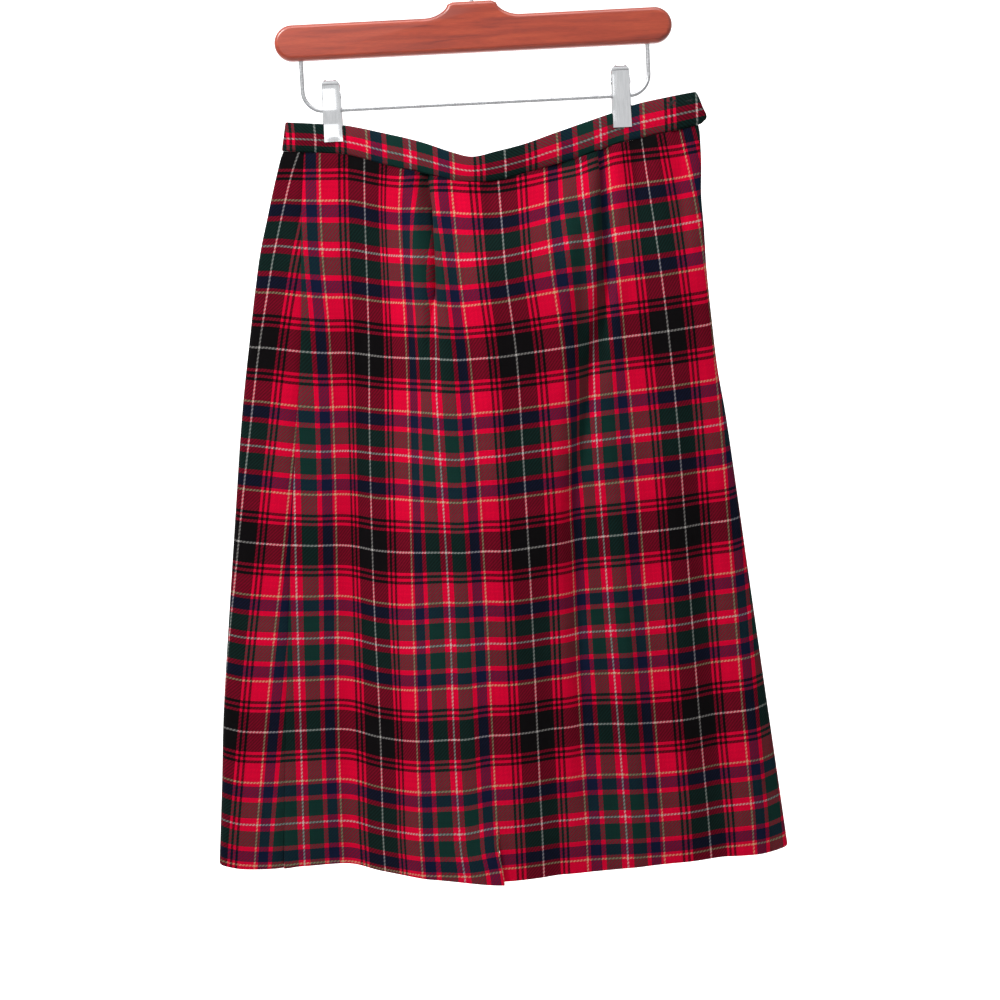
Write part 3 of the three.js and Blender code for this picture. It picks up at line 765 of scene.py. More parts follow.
def tartan_twill(cloth):
    """Worsted wool in a 2/2 twill: matt, with clear diagonals where two colours cross, a little fuzz
    that catches grazing light, and each check a plain mix of its warp and weft colours."""
    material, tree, shader = fresh(
        "worsted_wool_twill", roughness=0.9, specular_ior_level=0.06, sheen_weight=0.02, sheen_roughness=0.5
    )
    uv = put(tree, "ShaderNodeUVMap", {"uv_map": "cloth"})
    split = put(tree, "ShaderNodeSeparateXYZ", None, {0: uv.outputs[0]})
    total = sum(threads for _, threads in SETT)
    places = np.cumsum([0] + [threads for _, threads in SETT[:-1]]) / total
    spacing = cloth.sett / 2 / total
    colours = {name: linear(getattr(cloth, name)) for name in {name for name, _ in SETT}}
    stops = [(float(place), colours[name]) for place, (name, _) in zip(places, SETT)]
    thread = {}
    for name, axis in (("warp", "X"), ("weft", "Y")):
        count = maths(tree, "DIVIDE", split.outputs[axis], spacing)
        number = maths(tree, "FLOOR", count)
        place = maths(tree, "PINGPONG", maths(tree, "ADD", number, 0.5), float(total))
        ramp = put(tree, "ShaderNodeValToRGB", None, {0: maths(tree, "DIVIDE", place, float(total))})
        ramp.color_ramp.interpolation = "CONSTANT"
        ramp_stops(ramp, stops)
        dye = put(tree, "ShaderNodeTexWhiteNoise", {"noise_dimensions": "1D"}, {"W": number})
        turn = maths(tree, "MULTIPLY", maths(tree, "FRACT", count), math.pi)
        thread[name] = {
            "count": count, "number": number, "colour": ramp.outputs[0],
            "dye": dye.outputs[0], "round": maths(tree, "SINE", turn),
        }
    warp, weft_ = thread["warp"], thread["weft"]
    phase = maths(tree, "FLOORED_MODULO", maths(tree, "SUBTRACT", warp["number"], weft_["number"]), 4.0)
    warp_up = maths(tree, "LESS_THAN", phase, 1.5)
    # Each thread floats over two others and dips at both ends.
    floats = {}
    for name, ahead, behind, shift in (
        ("warp", warp["number"], weft_["count"], 1.0), ("weft", warp["count"], weft_["number"], -2.0)
    ):
        moved = maths(tree, "ADD", maths(tree, "SUBTRACT", ahead, behind), shift)
        turn = maths(tree, "MULTIPLY", maths(tree, "FLOORED_MODULO", moved, 4.0), math.pi / 2)
        raised = maths(tree, "MULTIPLY_ADD", maths(tree, "SINE", turn), 0.55, 0.45)
        floats[name] = maths(tree, "MULTIPLY", raised, thread[name]["round"])
    upper = blend(tree, warp_up, weft_["colour"], warp["colour"])
    lower = blend(tree, warp_up, warp["colour"], weft_["colour"])
    # A dark thread shades the ones that cross it, most of all those that are dyed.
    parts = put(tree, "ShaderNodeSeparateColor", None, {0: upper})
    reach = ranged(tree, parts.outputs[1], NEIGHBOUR_SHADE, LIGHT_SHADE, 0.05, 0.7)
    crossed = put(tree, "ShaderNodeSeparateColor", {"mode": "HSV"}, {0: lower})
    cast = blend(tree, HUE_SHADE, crossed.outputs[2], lower)
    stained = blend(tree, reach, upper, cast, blend_type="MULTIPLY")
    colour = blend(tree, SHOW_THROUGH, stained, lower)
    height = blend(tree, warp_up, floats["weft"], floats["warp"], "FLOAT")
    dye = blend(tree, warp_up, weft_["dye"], warp["dye"], "FLOAT")
    # Worsted fibres, and the slow unevenness of pressed cloth.
    fibre = noise(tree, uv.outputs[0], 2.4, 3.0)
    pressed = noise(tree, uv.outputs[0], 0.021)
    # Painted shade and highlight: the colour is darker in the weave's dips between threads and lighter on
    # its raised floats.
    tone = ranged(tree, height, 0.66, 1.12)
    for source, low, high in ((dye, 0.93, 1.07), (fibre, 0.82, 1.18), (pressed, 0.88, 1.12)):
        tone = maths(tree, "MULTIPLY", tone, ranged(tree, source, low, high))
    fuzz = maths(tree, "MULTIPLY_ADD", fibre, 0.5, height)
    feed(tree, shader, base_color=scaled(tree, colour, tone), normal=bumped(tree, fuzz, 0.45, 0.22))
    return material


def lacquered_cherry(hanger):
    """Stained cherry under clear lacquer: warm red-brown, fine long grain and a smooth bright coat."""
    material, tree, shader = fresh(
        "lacquered_cherry", roughness=0.42, ior=1.5, coat_weight=0.6, coat_roughness=0.16
    )
    along = object_place(tree, (0.07, 1.0, 1.0))
    broad = noise(tree, along, 160.0, 4.0, 0.6)
    # Pores are about 0.1 mm wide and drawn at 0.5 mm, so that they show.
    pores = noise(tree, along, 2000.0)
    ramp = put(tree, "ShaderNodeValToRGB", None, {0: broad})
    stains = ((0.25, hanger.dark_stain), (0.5, hanger.stain), (0.8, hanger.light_stain))
    ramp_stops(ramp, [(place, linear(stain)) for place, stain in stains])
    grain = ranged(tree, pores, 0.86, 1.03, 0.35, 0.6)
    feed(
        tree, shader, base_color=scaled(tree, ramp.outputs[0], grain), normal=bumped(tree, pores, 0.12, 0.05)
    )
    return material


def plated(name, plate, roughness, streak):
    """Bright nickel plate on drawn wire or pressed steel: a mirror with a faint draw-streaked blur."""
    material, tree, shader = fresh(name, metallic=1.0)
    marks = noise(tree, object_place(tree, streak), 900.0, 3.0)
    worn = ranged(tree, marks, roughness * 0.7, roughness * 1.5)
    feed(tree, shader, roughness=worn, base_color=blend(tree, marks, linear(plate), linear("#F2F3F5")))
    return material


def plain_thread(name, colour):
    """Spun polyester sewing thread: a dull twist of two plies."""
    material, tree, shader = fresh(name, roughness=0.8)
    wave = {"Vector": object_place(tree), "Scale": 700.0}
    ply = put(tree, "ShaderNodeTexWave", {"bands_direction": "DIAGONAL"}, wave).outputs[1]
    # The twist's stripes mix the thread's colour with a lighter copy of it: a painted highlight along each
    # ply.
    lit = (*(c * 1.8 + 0.002 for c in linear(colour)[:3]), 1)
    feed(tree, shader, base_color=blend(tree, ply, linear(colour), lit), normal=bumped(tree, ply, 0.4, 0.1))
    return material


# ---------- the skirt's pieces ----------
SLIT_START = 1 - SLIT["share"]
HEM_EDGE = 0.0028            # share of the drop in which the hem's fold rounds off
SEAM_NUDGE = 0.08
TUCK, TUCK_DROP = 0.9, 0.006      # how far the top edge goes in, and over which drop


def row_drops():
    """Drops of a panel's rows: close under the band, then at the slit and at the hem's fold."""
    return np.unique(np.round(np.concatenate([
        [0, 0.0015, 0.004], np.linspace(0.008, 0.2, 32), np.linspace(0.2, SLIT_START, 76),
        np.linspace(SLIT_START, 1 - 2 * HEM_EDGE, 13), [1 - HEM_EDGE, 1 - HEM_EDGE / 2, 1],
    ]), 6))


def wall_shares(panel):
    """The wall thins at the hem's fold."""
    drop = np.array(panel.drops)[:, None]
    share = 1 - 0.6 * np.clip((drop - 1 + HEM_EDGE) / HEM_EDGE, 0, 1) ** 2
    return share * np.ones(panel.length.shape)


def tuck_under_band(panel):
    """The top edge goes in under the waistband's lower edge."""
    drop = np.array(panel.drops)[:, None]
    panel.lift(-TUCK * np.exp(-((drop / TUCK_DROP) ** 2)) * np.ones(panel.length.shape))


def front_panel_rows():
    half = SLIT["gap"] / 2
    panel = Panel([
        ("left_seam", SEAM_NUDGE, "dart_left", 0, 36),
        ("dart_left", 0, "slit", -half, 18),
        ("slit", -half, "slit", half, 0),
        ("slit", half, "dart_right", 0, 32),
        ("dart_right", 0, "right_seam", -SEAM_NUDGE, 54),
    ], row_drops())
    cloth = front_cloth(panel)
    sunk = DART_DEPTH * (1 - ease(*DART_FADE, np.array(panel.drops)[:, None]))
    darts = seam_roll(panel, [panel.cuts[0], panel.cuts[-1]], sunk, DART_REACH)
    panel.lift(creases(panel, darts) + seam_roll(panel, [0, panel.length.shape[1] - 1]))
    tuck_under_band(panel)
    cut = panel.cuts[1]
    below = np.clip((np.array(panel.drops) - SLIT_START) / SLIT["share"], 0, 1)[:, None]
    flap = panel.points[:, : cut + 1]
    near = np.exp(-(((flap[:, -1:, 0] - flap[..., 0]) / SLIT_REACH) ** 2))
    flap[..., 1] -= SLIT["forward"] * below**SLIT_SWING * near
    flap[..., 0] += SLIT["lap"] * ease(SLIT_LAP_FROM, 1, below) * near
    flap[..., 2] -= SLIT["droop"] * below * near
    return panel, cloth


def back_panel_rows():
    panel = Panel([("right_seam", SEAM_NUDGE, "left_seam", -SEAM_NUDGE, 124)], row_drops())
    cloth = back_cloth(panel)
    panel.lift(creases(panel) + seam_roll(panel, [0, panel.length.shape[1] - 1]))
    tuck_under_band(panel)
    return panel, cloth


BAND_LEFT = (-171.5, -176.3)      # of the band's left fold, at its top and bottom
BAND_BACK_END = 197
BAND_BACK_DROP = 1.5
BAND_TOP_OPEN = 0.93
BAND_WHITE_X = 22.4               # x of the white line in black that crosses the band
BAND_SETT = (170, 174.5)          # of the band for one full sett, to its left and right
BAND_WHITE_DOWN = 0.57            # share of its depth at which a white line in red runs along it
BAND_CROWN = 1.3                  # how far the pressed fold swells between the clips
BAND_DEPTH = 29.6                 # cloth across the band
# Rolled lower fold and stitched line: how deep, at which share of the depth, and how wide.
BAND_ROLLS = ((0.9, 1, 0.05), (0.35, 0.9, 0.022))
BUCKLE_SHARE = 0.55               # of the buckles' heights that the stitching leaves
CLIP_HOLD = 13                    # half width over which a clip presses the band flat
BAND_END = table("down end", (0, 196.5), (0.12, 198.6), (0.5, 202.3), (0.86, 205.6), (1, 200.5))
# Buckles of the band between clips and stitches: x, width and height outwards.
BAND_BUCKLES = table(
    "x width height",
    (-160, 7, 0.5), (-147, 6, -0.4), (-108, 9, 0.7), (-92, 7, -0.5), (-70, 10, 0.6), (-45, 9, -0.7),
    (-26, 9, 0.8), (-6, 8, -0.6), (16, 9, 0.6), (38, 8, -0.5), (60, 10, 0.7), (84, 8, -0.6),
    (104, 8, 0.6), (150, 7, 0.5), (166, 7, -0.5), (184, 8, 0.6),
)


def band_rows():
    """Points, cloth coordinates and wall shares of the waistband, from its back end to its front end."""
    downs = np.array([0, 0.02, 0.05, 0.1, *np.linspace(0.17, 0.83, 12), 0.88, 0.91, 0.94, 0.97, 1])
    radius = FOLD_RADIUS[0]
    rows, arcs = [], []
    for down in downs:
        left = mix(*BAND_LEFT, down)
        straight, end = left + radius, float(look(BAND_END, "down", down, "end"))
        less = mix(BAND_TOP_OPEN, 1, down)
        row = []
        for side, sign, stop in (("back", 1, BAND_BACK_END), ("front", -1, end)):
            share = np.linspace(0, 1, 150)
            x = mix(straight, stop, share)
            begin = ease(0, EDGE_BLEND, x - straight)
            lower = BAND_BACK_DROP * begin if side == "back" else 0
            z = mix(look(BAND, "x", x, "top") - lower, look(BAND, "x", x, "bottom"), down)
            open_ = look(WAIST_OPEN, "x", x, side) * begin
            wide = np.where(open_ > 0, open_ * less, open_)
            bump = sum(
                b["height"] * np.exp(-(((x - b["x"]) / b["width"]) ** 2)) for b in each(BAND_BUCKLES)
            )
            clear = 1 - np.exp(-(((np.abs(x) - CLIP_X) / CLIP_HOLD) ** 4))
            lift = BUCKLE_SHARE * bump * math.sin(math.pi * (0.25 + 0.6 * down)) * begin * clear
            crown = BAND_CROWN * math.sin(math.pi * down) * begin * clear
            roll = -sum(deep * math.exp(-(((down - at) / wide_) ** 2)) for deep, at, wide_ in BAND_ROLLS)
            y = sign * (radius + wide + lift + crown + roll * begin)
            half = np.stack([x, y, z], axis=1)
            row.append(half[::-1] if side == "back" else half)
        turn = np.linspace(0, math.pi, 9)[1:-1]
        z = mix(look(BAND, "x", left, "top"), look(BAND, "x", left, "bottom"), down)
        fold = np.stack([
            straight - radius * np.sin(turn), radius * np.cos(turn), np.full(len(turn), float(z))
        ], axis=1)
        line = np.concatenate([row[0], fold, row[1]])
        step = np.linalg.norm(np.diff(line[:, :2], axis=0), axis=1)
        arc = np.concatenate([[0], np.cumsum(step)])
        arc += line[-1, 0] - arc[-1]
        rows.append(line)
        arcs.append(arc)
    rows, arcs = np.array(rows), np.array(arcs)
    # The front follows the lines that show; the back counts on round the fold.
    along = (arcs - BAND_WHITE_X) * 2 * HALF_SETT / np.where(arcs < BAND_WHITE_X, *BAND_SETT)
    across = HALF_SETT + (downs[:, None] - BAND_WHITE_DOWN) * BAND_DEPTH * np.ones_like(arcs)
    share = np.ones(arcs.shape)
    share[0], share[1], share[2], share[-1], share[-2] = 0.35, 0.72, 0.92, 0.5, 0.85
    share[:, 0] *= 0.5
    share[:, -1] *= 0.5
    return rows, across, along, share


# Thread left in the tab where its hooks are sewn on: x, z, half width, half height.
HOOK_STITCHES = table("x z wide high", (175.5, -163.5, 4.6, 3.2), (188.5, -163.2, 5.2, 2.2))


def tangle(cx, cz, wide, high, turns, phase):
    """A sewn knot: one thread that crosses itself over and over, flat on the cloth."""
    path = []
    for k in range(turns * 14 + 1):
        t = 2 * math.pi * k / 14
        x = cx + wide * math.sin(t * 0.731 + phase) * (0.75 + 0.25 * math.sin(t * 0.213))
        z = cz + high * math.sin(t * 1.117 + 1.3 * phase) + 0.27 * (x - cx)
        y = band_face(x) - 0.55 - 0.3 * math.sin(t * 1.9 + phase)
        path.append((x, y, z))
    return path


def band_face(x):
    """y of the front of the waistband at an x."""
    return -(FOLD_RADIUS[0] + float(look(WAIST_OPEN, "x", x, "front")) + 1.3)


# ---------- the hanger's pieces ----------
BAR = {"half": 178, "top": -76.8, "bottom": -108.6, "depth": 14, "round": 4.4}
NECK = {"half": 23.7, "shoulder": 43, "top": -63.8, "corner": 2.5, "sweep": 11, "flare": 4, "bend": 0.4}
WIRE = 1.9
HOOK = {"radius": 20, "from": -60, "to": 200, "stem_top": -52, "foot": -77, "sway": 9, "pull": 7}
ROD = {"half": 155.5, "z": -153.1, "bend": 18, "into": -97}
CLIP_X = 130
JAW = table(
    "z out half",
    (-127.2, 8.4, 5.6), (-128.8, 6.5, 7.3), (-131.5, 5.4, 8), (-139, 5, 8.1),
    (-153, 4.9, 8.4), (-160, 4.2, 8.7), (-165.5, 3.55, 8.9), (-181.2, 3.55, 9.25),
)
JAW_CROWN, JAW_SHEET = 0.35, 0.8
LUG = {"x": 6.9, "front": -3.2, "rear": 4.9, "high": -148, "low": -158.2, "corner": 2, "sheet": 1}
SPRING = {"radius": 3.55, "wire": 0.62, "half": 8.6, "turns": 13, "z": -139}


def curve_points(p0, p1, p2, p3, steps):
    t = np.linspace(0, 1, steps + 1)[:, None]
    p0, p1, p2, p3 = (np.array(p, float) for p in (p0, p1, p2, p3))
    return (1 - t) ** 3 * p0 + 3 * (1 - t) ** 2 * t * p1 + 3 * (1 - t) * t**2 * p2 + t**3 * p3


def arc_points(cx, cz, radius, a, b, steps):
    turn = np.linspace(a, b, steps + 1)
    return np.stack([cx + radius * np.cos(turn), cz + radius * np.sin(turn)], axis=1)


def bar_outline():
    """Outline of the bar's flat face, anticlockwise as seen from the front."""
    top, bottom = BAR["top"] - BAR["round"], BAR["bottom"] + BAR["round"]
    radius, centre = (top - bottom) / 2, (top + bottom) / 2
    end = BAR["half"] - BAR["round"] - radius
    neck, neck_top = NECK["half"] - BAR["round"], NECK["top"] - BAR["round"]
    bend = mix(top, neck_top, NECK["bend"])
    right = [
        np.stack([np.linspace(0, end, 40)[:-1], np.full(39, bottom)], axis=1),
        arc_points(end, centre, radius, -math.pi / 2, math.pi / 2, 24),
        np.stack([np.linspace(end, NECK["shoulder"], 30)[1:-1], np.full(28, top)], axis=1),
        curve_points(
            (NECK["shoulder"], top), (NECK["shoulder"] - NECK["sweep"], top),
            (neck + NECK["flare"], bend), (neck, neck_top - NECK["corner"]), 16,
        ),
        np.array([(neck - NECK["corner"] * 0.25, neck_top - NECK["corner"] * 0.25)]),
        np.stack([np.linspace(neck - NECK["corner"], 0, 8), np.full(8, neck_top)], axis=1),
    ]
    right = np.concatenate(right)
    left = right[::-1] * (-1, 1)
    return np.concatenate([right, left[1:-1]])


def rounded_plate(outline, depth, radius, steps=7):
    """A plate whose rim is rounded outwards from its flat faces' outline."""
    ahead, behind = np.roll(outline, -1, axis=0), np.roll(outline, 1, axis=0)
    way = ahead - behind
    way /= np.linalg.norm(way, axis=1)[:, None]
    out = np.stack([way[:, 1], -way[:, 0]], axis=1)
    bm = bmesh.new()
    front = depth / 2
    ring = [bm.verts.new((x * MM, -front * MM, z * MM)) for x, z in outline]
    bm.faces.new(ring)
    edges = [bm.edges.get((ring[k], ring[(k + 1) % len(ring)])) for k in range(len(ring))]
    for k in range(1, 2 * steps + 2):
        turn = math.pi / 2 * min(k, 2 * steps + 1 - k) / steps
        y = front - radius + radius * math.cos(turn)
        y = -y if k <= steps else y
        grown = bmesh.ops.extrude_edge_only(bm, edges=edges)["geom"]
        # The new ring keeps the order of the old one.
        last, pairs = set(ring), {}
        for new in (g for g in grown if isinstance(g, bmesh.types.BMVert)):
            for edge in new.link_edges:
                old = edge.other_vert(new)
                if old in last:
                    pairs[old] = new
        ring = [pairs[v] for v in ring]
        place = outline + out * radius * math.sin(turn)
        for vert, (x, z) in zip(ring, place):
            vert.co = (x * MM, y * MM, z * MM)
        edges = [bm.edges.get((ring[i], ring[(i + 1) % len(ring)])) for i in range(len(ring))]
    bm.faces.new(ring[::-1])
    bmesh.ops.recalc_face_normals(bm, faces=bm.faces)
    return bm


def finish_mesh(bm, name, materials, angle=None):
    mesh = bpy.data.meshes.new(name)
    bm.to_mesh(mesh)
    bm.free()
    mesh.shade_smooth()
    if angle:
        mesh.set_sharp_from_angle(angle=math.radians(angle))
    return link(name, mesh, materials)


def hook_path():
    centre = WIRE - HOOK["radius"]
    start = math.radians(HOOK["from"])
    join = np.array([HOOK["radius"] * math.cos(start), centre + HOOK["radius"] * math.sin(start)])
    way = np.array([-math.sin(start), math.cos(start)])
    flat = np.concatenate([
        [(0, HOOK["foot"])],
        curve_points(
            (0, HOOK["stem_top"]), (0, HOOK["stem_top"] + HOOK["sway"]), join - way * HOOK["pull"], join, 14
        ),
        arc_points(0, centre, HOOK["radius"], start, math.radians(HOOK["to"]), 64)[1:],
    ])
    return [(x, 0, z) for x, z in flat]


def rod_path():
    half, z, bend = ROD["half"], ROD["z"], ROD["bend"]
    flat = np.concatenate([
        [(-half, ROD["into"])],
        arc_points(-half + bend, z + bend, bend, math.pi, 1.5 * math.pi, 18),
        arc_points(half - bend, z + bend, bend, 1.5 * math.pi, 2 * math.pi, 18),
        [(half, ROD["into"])],
    ])
    return [(x, 0, z) for x, z in flat]


def jaw_mesh(bm, centre, sign, lips):
    """One pressed jaw: a crowned plate with turned-in sides, a curled finger flange and a flat tip."""
    across = np.concatenate([[-1, -0.97], np.linspace(-0.9, 0.9, 13), [0.97, 1]])
    heights = np.concatenate([
        np.linspace(-127.2, -131.5, 8), np.linspace(-133, -165.5, 22), np.linspace(-167, -181.2, 8),
    ])[::-1]
    grid = bmesh.ops.create_grid(bm, x_segments=len(across) - 1, y_segments=len(heights) - 1, size=0.5)
    verts = sorted(grid["verts"], key=lambda v: v.index)
    for k, vert in enumerate(verts):
        i, j = divmod(k, len(across))
        z, a = heights[i], across[j]
        half = float(look(JAW, "z", z, "half"))
        out = float(look(JAW, "z", z, "out"))
        crown = JAW_CROWN * (1 - a * a) * ease(-127, -132, z) * ease(-181.2, -176, z)
        turned = lips * max(0, abs(a) - 0.9) / 0.1
        vert.co = (
            (centre - sign * a * half) * MM, sign * (out + crown - turned) * MM, z * MM,
        )


# ---------- settings ----------
def amount(name, text, value, **limits):
    return FloatProperty(name=name, description=text, default=value, **limits)


def hex_colour(name, text, value):
    shares = [int(value[k : k + 2], 16) / 255 for k in (1, 3, 5)]
    return FloatVectorProperty(
        name=name, description=text, default=shares, subtype="COLOR_GAMMA", min=0, max=1
    )


class TARTAN_PG_cloth(bpy.types.PropertyGroup):
    wall: amount("Cloth", "Thickness of one layer of cloth", 1.5 * MM, unit="LENGTH", precision=5)
    band: amount("Waistband", "Thickness of the doubled waistband", 2.5 * MM, unit="LENGTH", precision=5)
    sett: amount("Sett", "Width of one repeat of the tartan, in mm of cloth", 2 * HALF_SETT, min=40, max=400)
    red: hex_colour("Red", "Crimson yarn", "#EE0046")
    black: hex_colour("Black", "Black yarn", "#171316")
    navy: hex_colour("Navy", "Navy yarn", "#1F2B55")
    green: hex_colour("Green", "Bottle green yarn", "#1D5048")
    white: hex_colour("White", "White yarn", "#DAD6D2")
    yellow: hex_colour("Yellow", "Gold yarn", "#E8C49A")


class TARTAN_PG_hanger(bpy.types.PropertyGroup):
    stain: hex_colour("Stain", "Main colour of the stained wood", "#A63A1E")
    dark_stain: hex_colour("Dark grain", "Darkest colour of the grain", "#7C2413")
    light_stain: hex_colour("Light grain", "Lightest colour of the grain", "#BC4C2A")
    plate: hex_colour("Plating", "Colour of the bright plating", "#D8DADD")
    wire: hex_colour("Worn wire", "Plate of the wires, dulled by use", "#5E6064")
    thread: hex_colour("Hook thread", "Thread that sews the hooks on", "#070708")


class TARTAN_PG_studio(bpy.types.PropertyGroup):
    sky: amount("Fill", "Strength of the light from all round", 0.06, min=0, max=5)
    key: amount("Key", "Power of the key softbox", 50.0, min=0, unit="POWER")
    glow: amount("Glow", "Light of the backdrop itself", 0.9, min=0, max=5)
    floor: hex_colour("Backdrop", "Colour of the floor and backdrop", "#FAFAFA")


# ---------- operators ----------
class TARTAN_OT_front_panel(bpy.types.Operator):
    """Make the front panel, with its darts, folds and lapped slit"""

    bl_idname = "tartan.front_panel"
    bl_label = "Front panel"

    def execute(self, context):
        cloth = context.scene.tartan_cloth
        panel, (across, along, beyond) = front_panel_rows()
        cut = panel.cuts[1]
        piece = cloth_piece(
            "skirt_front", panel.points, across, along, cloth.wall / MM, [tartan_twill(cloth)], beyond,
            opened=lambda row, column: column == cut and panel.drops[row] >= SLIT_START - 1e-6,
            thin=wall_shares(panel),
        )
        settle(piece, "tartan_wool", "front_panel")
        return {"FINISHED"}


class TARTAN_OT_back_panel(bpy.types.Operator):
    """Make the back panel, which comes round the left fold to its seam"""

    bl_idname = "tartan.back_panel"
    bl_label = "Back panel"

    def execute(self, context):
        cloth = context.scene.tartan_cloth
        panel, (across, along, beyond) = back_panel_rows()
        piece = cloth_piece(
            "skirt_back", panel.points, across, along, cloth.wall / MM, [tartan_twill(cloth)], beyond,
            thin=wall_shares(panel),
        )
        settle(piece, "tartan_wool", "back_panel")
        return {"FINISHED"}


class TARTAN_OT_waistband(bpy.types.Operator):
    """Make the folded waistband with its buckles, stitched edge and tab"""

    bl_idname = "tartan.waistband"
    bl_label = "Waistband"

    def execute(self, context):
        cloth = context.scene.tartan_cloth
        rows, across, along, share = band_rows()
        piece = cloth_piece(
            "waistband_cloth", rows, across, along, cloth.band / MM, [tartan_twill(cloth)], thin=share
        )
        settle(piece, "tartan_wool", "waistband")
        thread = plain_thread("polyester_thread", context.scene.tartan_hanger.thread)
        for k, stitch in enumerate(each(HOOK_STITCHES)):
            path = tangle(stitch["x"], stitch["z"], stitch["wide"], stitch["high"], 9, 0.7 + 1.9 * k)
            knot = wire_piece(f"hook_stitches_{k + 1}", path, 0.3, thread, 4)
            settle(knot, "tartan_wool")
        return {"FINISHED"}


class TARTAN_OT_hanger(bpy.types.Operator):
    """Make the lacquered bar with its wire hook and trouser rod"""

    bl_idname = "tartan.hanger"
    bl_label = "Hanger"

    def execute(self, context):
        look_of = context.scene.tartan_hanger
        wood = lacquered_cherry(look_of)
        bar = finish_mesh(rounded_plate(bar_outline(), BAR["depth"], BAR["round"]), "bar_wood", [wood])
        settle(bar, "cherry_wood", "hanger_bar")
        nickel = plated("nickel_plated_wire", look_of.wire, 0.3, (1.0, 1.0, 1.0))
        settle(wire_piece("hook_wire", hook_path(), WIRE, nickel, 12), "plated_wire", "hanger_hook")
        settle(wire_piece("rod_wire", rod_path(), WIRE, nickel, 12), "plated_wire", "hanger_rod")
        return {"FINISHED"}


class TARTAN_OT_clips(bpy.types.Operator):
    """Make both clips: pressed jaws, lugs on the rod and a coiled spring"""

    bl_idname = "tartan.clips"
    bl_label = "Clips"

    def execute(self, context):
        look_of = context.scene.tartan_hanger
        steel = plated("nickel_plated_sheet", look_of.plate, 0.1, (1.0, 1.0, 0.08))
        for side, centre in (("left", -CLIP_X), ("right", CLIP_X)):
            for name, sign, lips in (("front", -1, 1.2), ("back", 1, 0.8)):
                bm = bmesh.new()
                jaw_mesh(bm, centre, sign, lips)
                bmesh.ops.recalc_face_normals(bm, faces=bm.faces)
                bmesh.ops.solidify(bm, geom=bm.faces[:], thickness=JAW_SHEET * MM)
                if name == "back":
                    for way in (-1, 1):
                        add_lug(bm, centre + way * LUG["x"])
                bmesh.ops.recalc_face_normals(bm, faces=bm.faces)
                piece = finish_mesh(bm, f"clip_{side}_{name}", [steel], 38)
                settle(piece, "plated_sheet", f"clip_{side}_{name}_jaw")
            spring = wire_piece(f"spring_{side}", spring_path(centre), SPRING["wire"], steel, 6)
            settle(spring, "plated_sheet", f"clip_{side}_spring")
        return {"FINISHED"}


def add_lug(bm, x):
    """A lug with a hole that slides on the rod, standing on the back jaw."""
    outline = [
        (LUG["rear"], LUG["high"]), (LUG["front"] + LUG["corner"], LUG["high"]),
        (LUG["front"], LUG["high"] - LUG["corner"]), (LUG["front"], LUG["low"] + LUG["corner"]),
        (LUG["front"] + LUG["corner"], LUG["low"]), (LUG["rear"], LUG["low"]),
    ]
    sheet = LUG["sheet"]
    hole = bmesh.ops.create_circle(bm, segments=28, radius=(WIRE + 0.3) * MM, cap_ends=False)["verts"]
    ring = bmesh.ops.create_circle(bm, segments=28, radius=1.0, cap_ends=False)["verts"]
    outline = np.array(outline)
    for verts in (hole, ring):
        for vert in verts:
            turn = math.atan2(vert.co.y, vert.co.x)
            if verts is hole:
                y, z = vert.co.x / MM, vert.co.y / MM + ROD["z"]
            else:
                y, z = reach_edge(outline, turn)
            vert.co = ((x - sheet / 2) * MM, y * MM, z * MM)
    edges = {e for v in (*hole, *ring) for e in v.link_edges}
    faces = bmesh.ops.bridge_loops(bm, edges=list(edges))["faces"]
    grown = bmesh.ops.extrude_face_region(bm, geom=faces)["geom"]
    far_side = [g for g in grown if isinstance(g, bmesh.types.BMVert)]
    bmesh.ops.translate(bm, verts=far_side, vec=(sheet * MM, 0, 0))


def reach_edge(outline, turn):
    """Where a ray from the rod's centre crosses the lug's outline."""
    way = np.array([math.cos(turn), math.sin(turn)])
    centre = np.array([0, ROD["z"]])
    best = None
    for a, b in zip(outline, np.roll(outline, -1, axis=0)):
        side = b - a
        crossing = way[0] * side[1] - way[1] * side[0]
        if abs(crossing) < 1e-9:
            continue
        to = a - centre
        reach = (to[0] * side[1] - to[1] * side[0]) / crossing
        share = (to[0] * way[1] - to[1] * way[0]) / crossing
        if reach > 0 and -1e-6 <= share <= 1 + 1e-6 and (best is None or reach < best):
            best = reach
    return centre + way * best


def spring_path(centre):
    """A coiled spring along X, without its legs."""
    r, z = SPRING["radius"], SPRING["z"]
    steps = SPRING["turns"] * 18
    path = []
    for k in range(steps + 1):
        turn = 2 * math.pi * k / 18 - math.pi / 2
        x = centre - SPRING["half"] + 2 * SPRING["half"] * k / steps
        path.append((x, r * math.cos(turn) * 0.98, z + r * math.sin(turn)))
    return path


def settle(piece, slot, *nodes):
    """Rides a piece on the one body and hides the nodes that it stands for; its slot is not used."""
    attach(piece, "root")
    if nodes:
        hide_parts(*nodes)


# ---------- stage ----------
# Softboxes: place, what each faces, its sides and its share of the key's power, in metres.
LIGHTS = (
    ("key_softbox", (-1.1, -0.95, 0.95), (0, 0, 0), (0.5, 0.8), 0.66),
    ("fill_softbox", (1.9, -2.0, 0.5), (0, 0, -0.3), (0.8, 1.4), 0.04),
    ("top_softbox", (0.0, -0.5, 1.1), (0, 0, -0.3), (1.4, 0.8), 0.28),
    ("front_softbox", (-0.62, -3.2, 0.6), (-0.1, 0, -0.1), (1.1, 1.5), 0.1),
)
CAMERA = {"place": (2.9, -1736, -330), "pitch": 84, "roll": -2.9, "lens": 68.4, "sensor": 36}
CAMERA_REACH = (0.05, 30)
# Backdrop, in metres: where floor and wall end, height of the floor, bend between them, and half width.
SWEEP = {"floor_y": -4.0, "wall_y": 3.6, "floor_z": -1.15, "bend": 0.8, "rise": 3.0, "half": 5.0, "rows": 41}


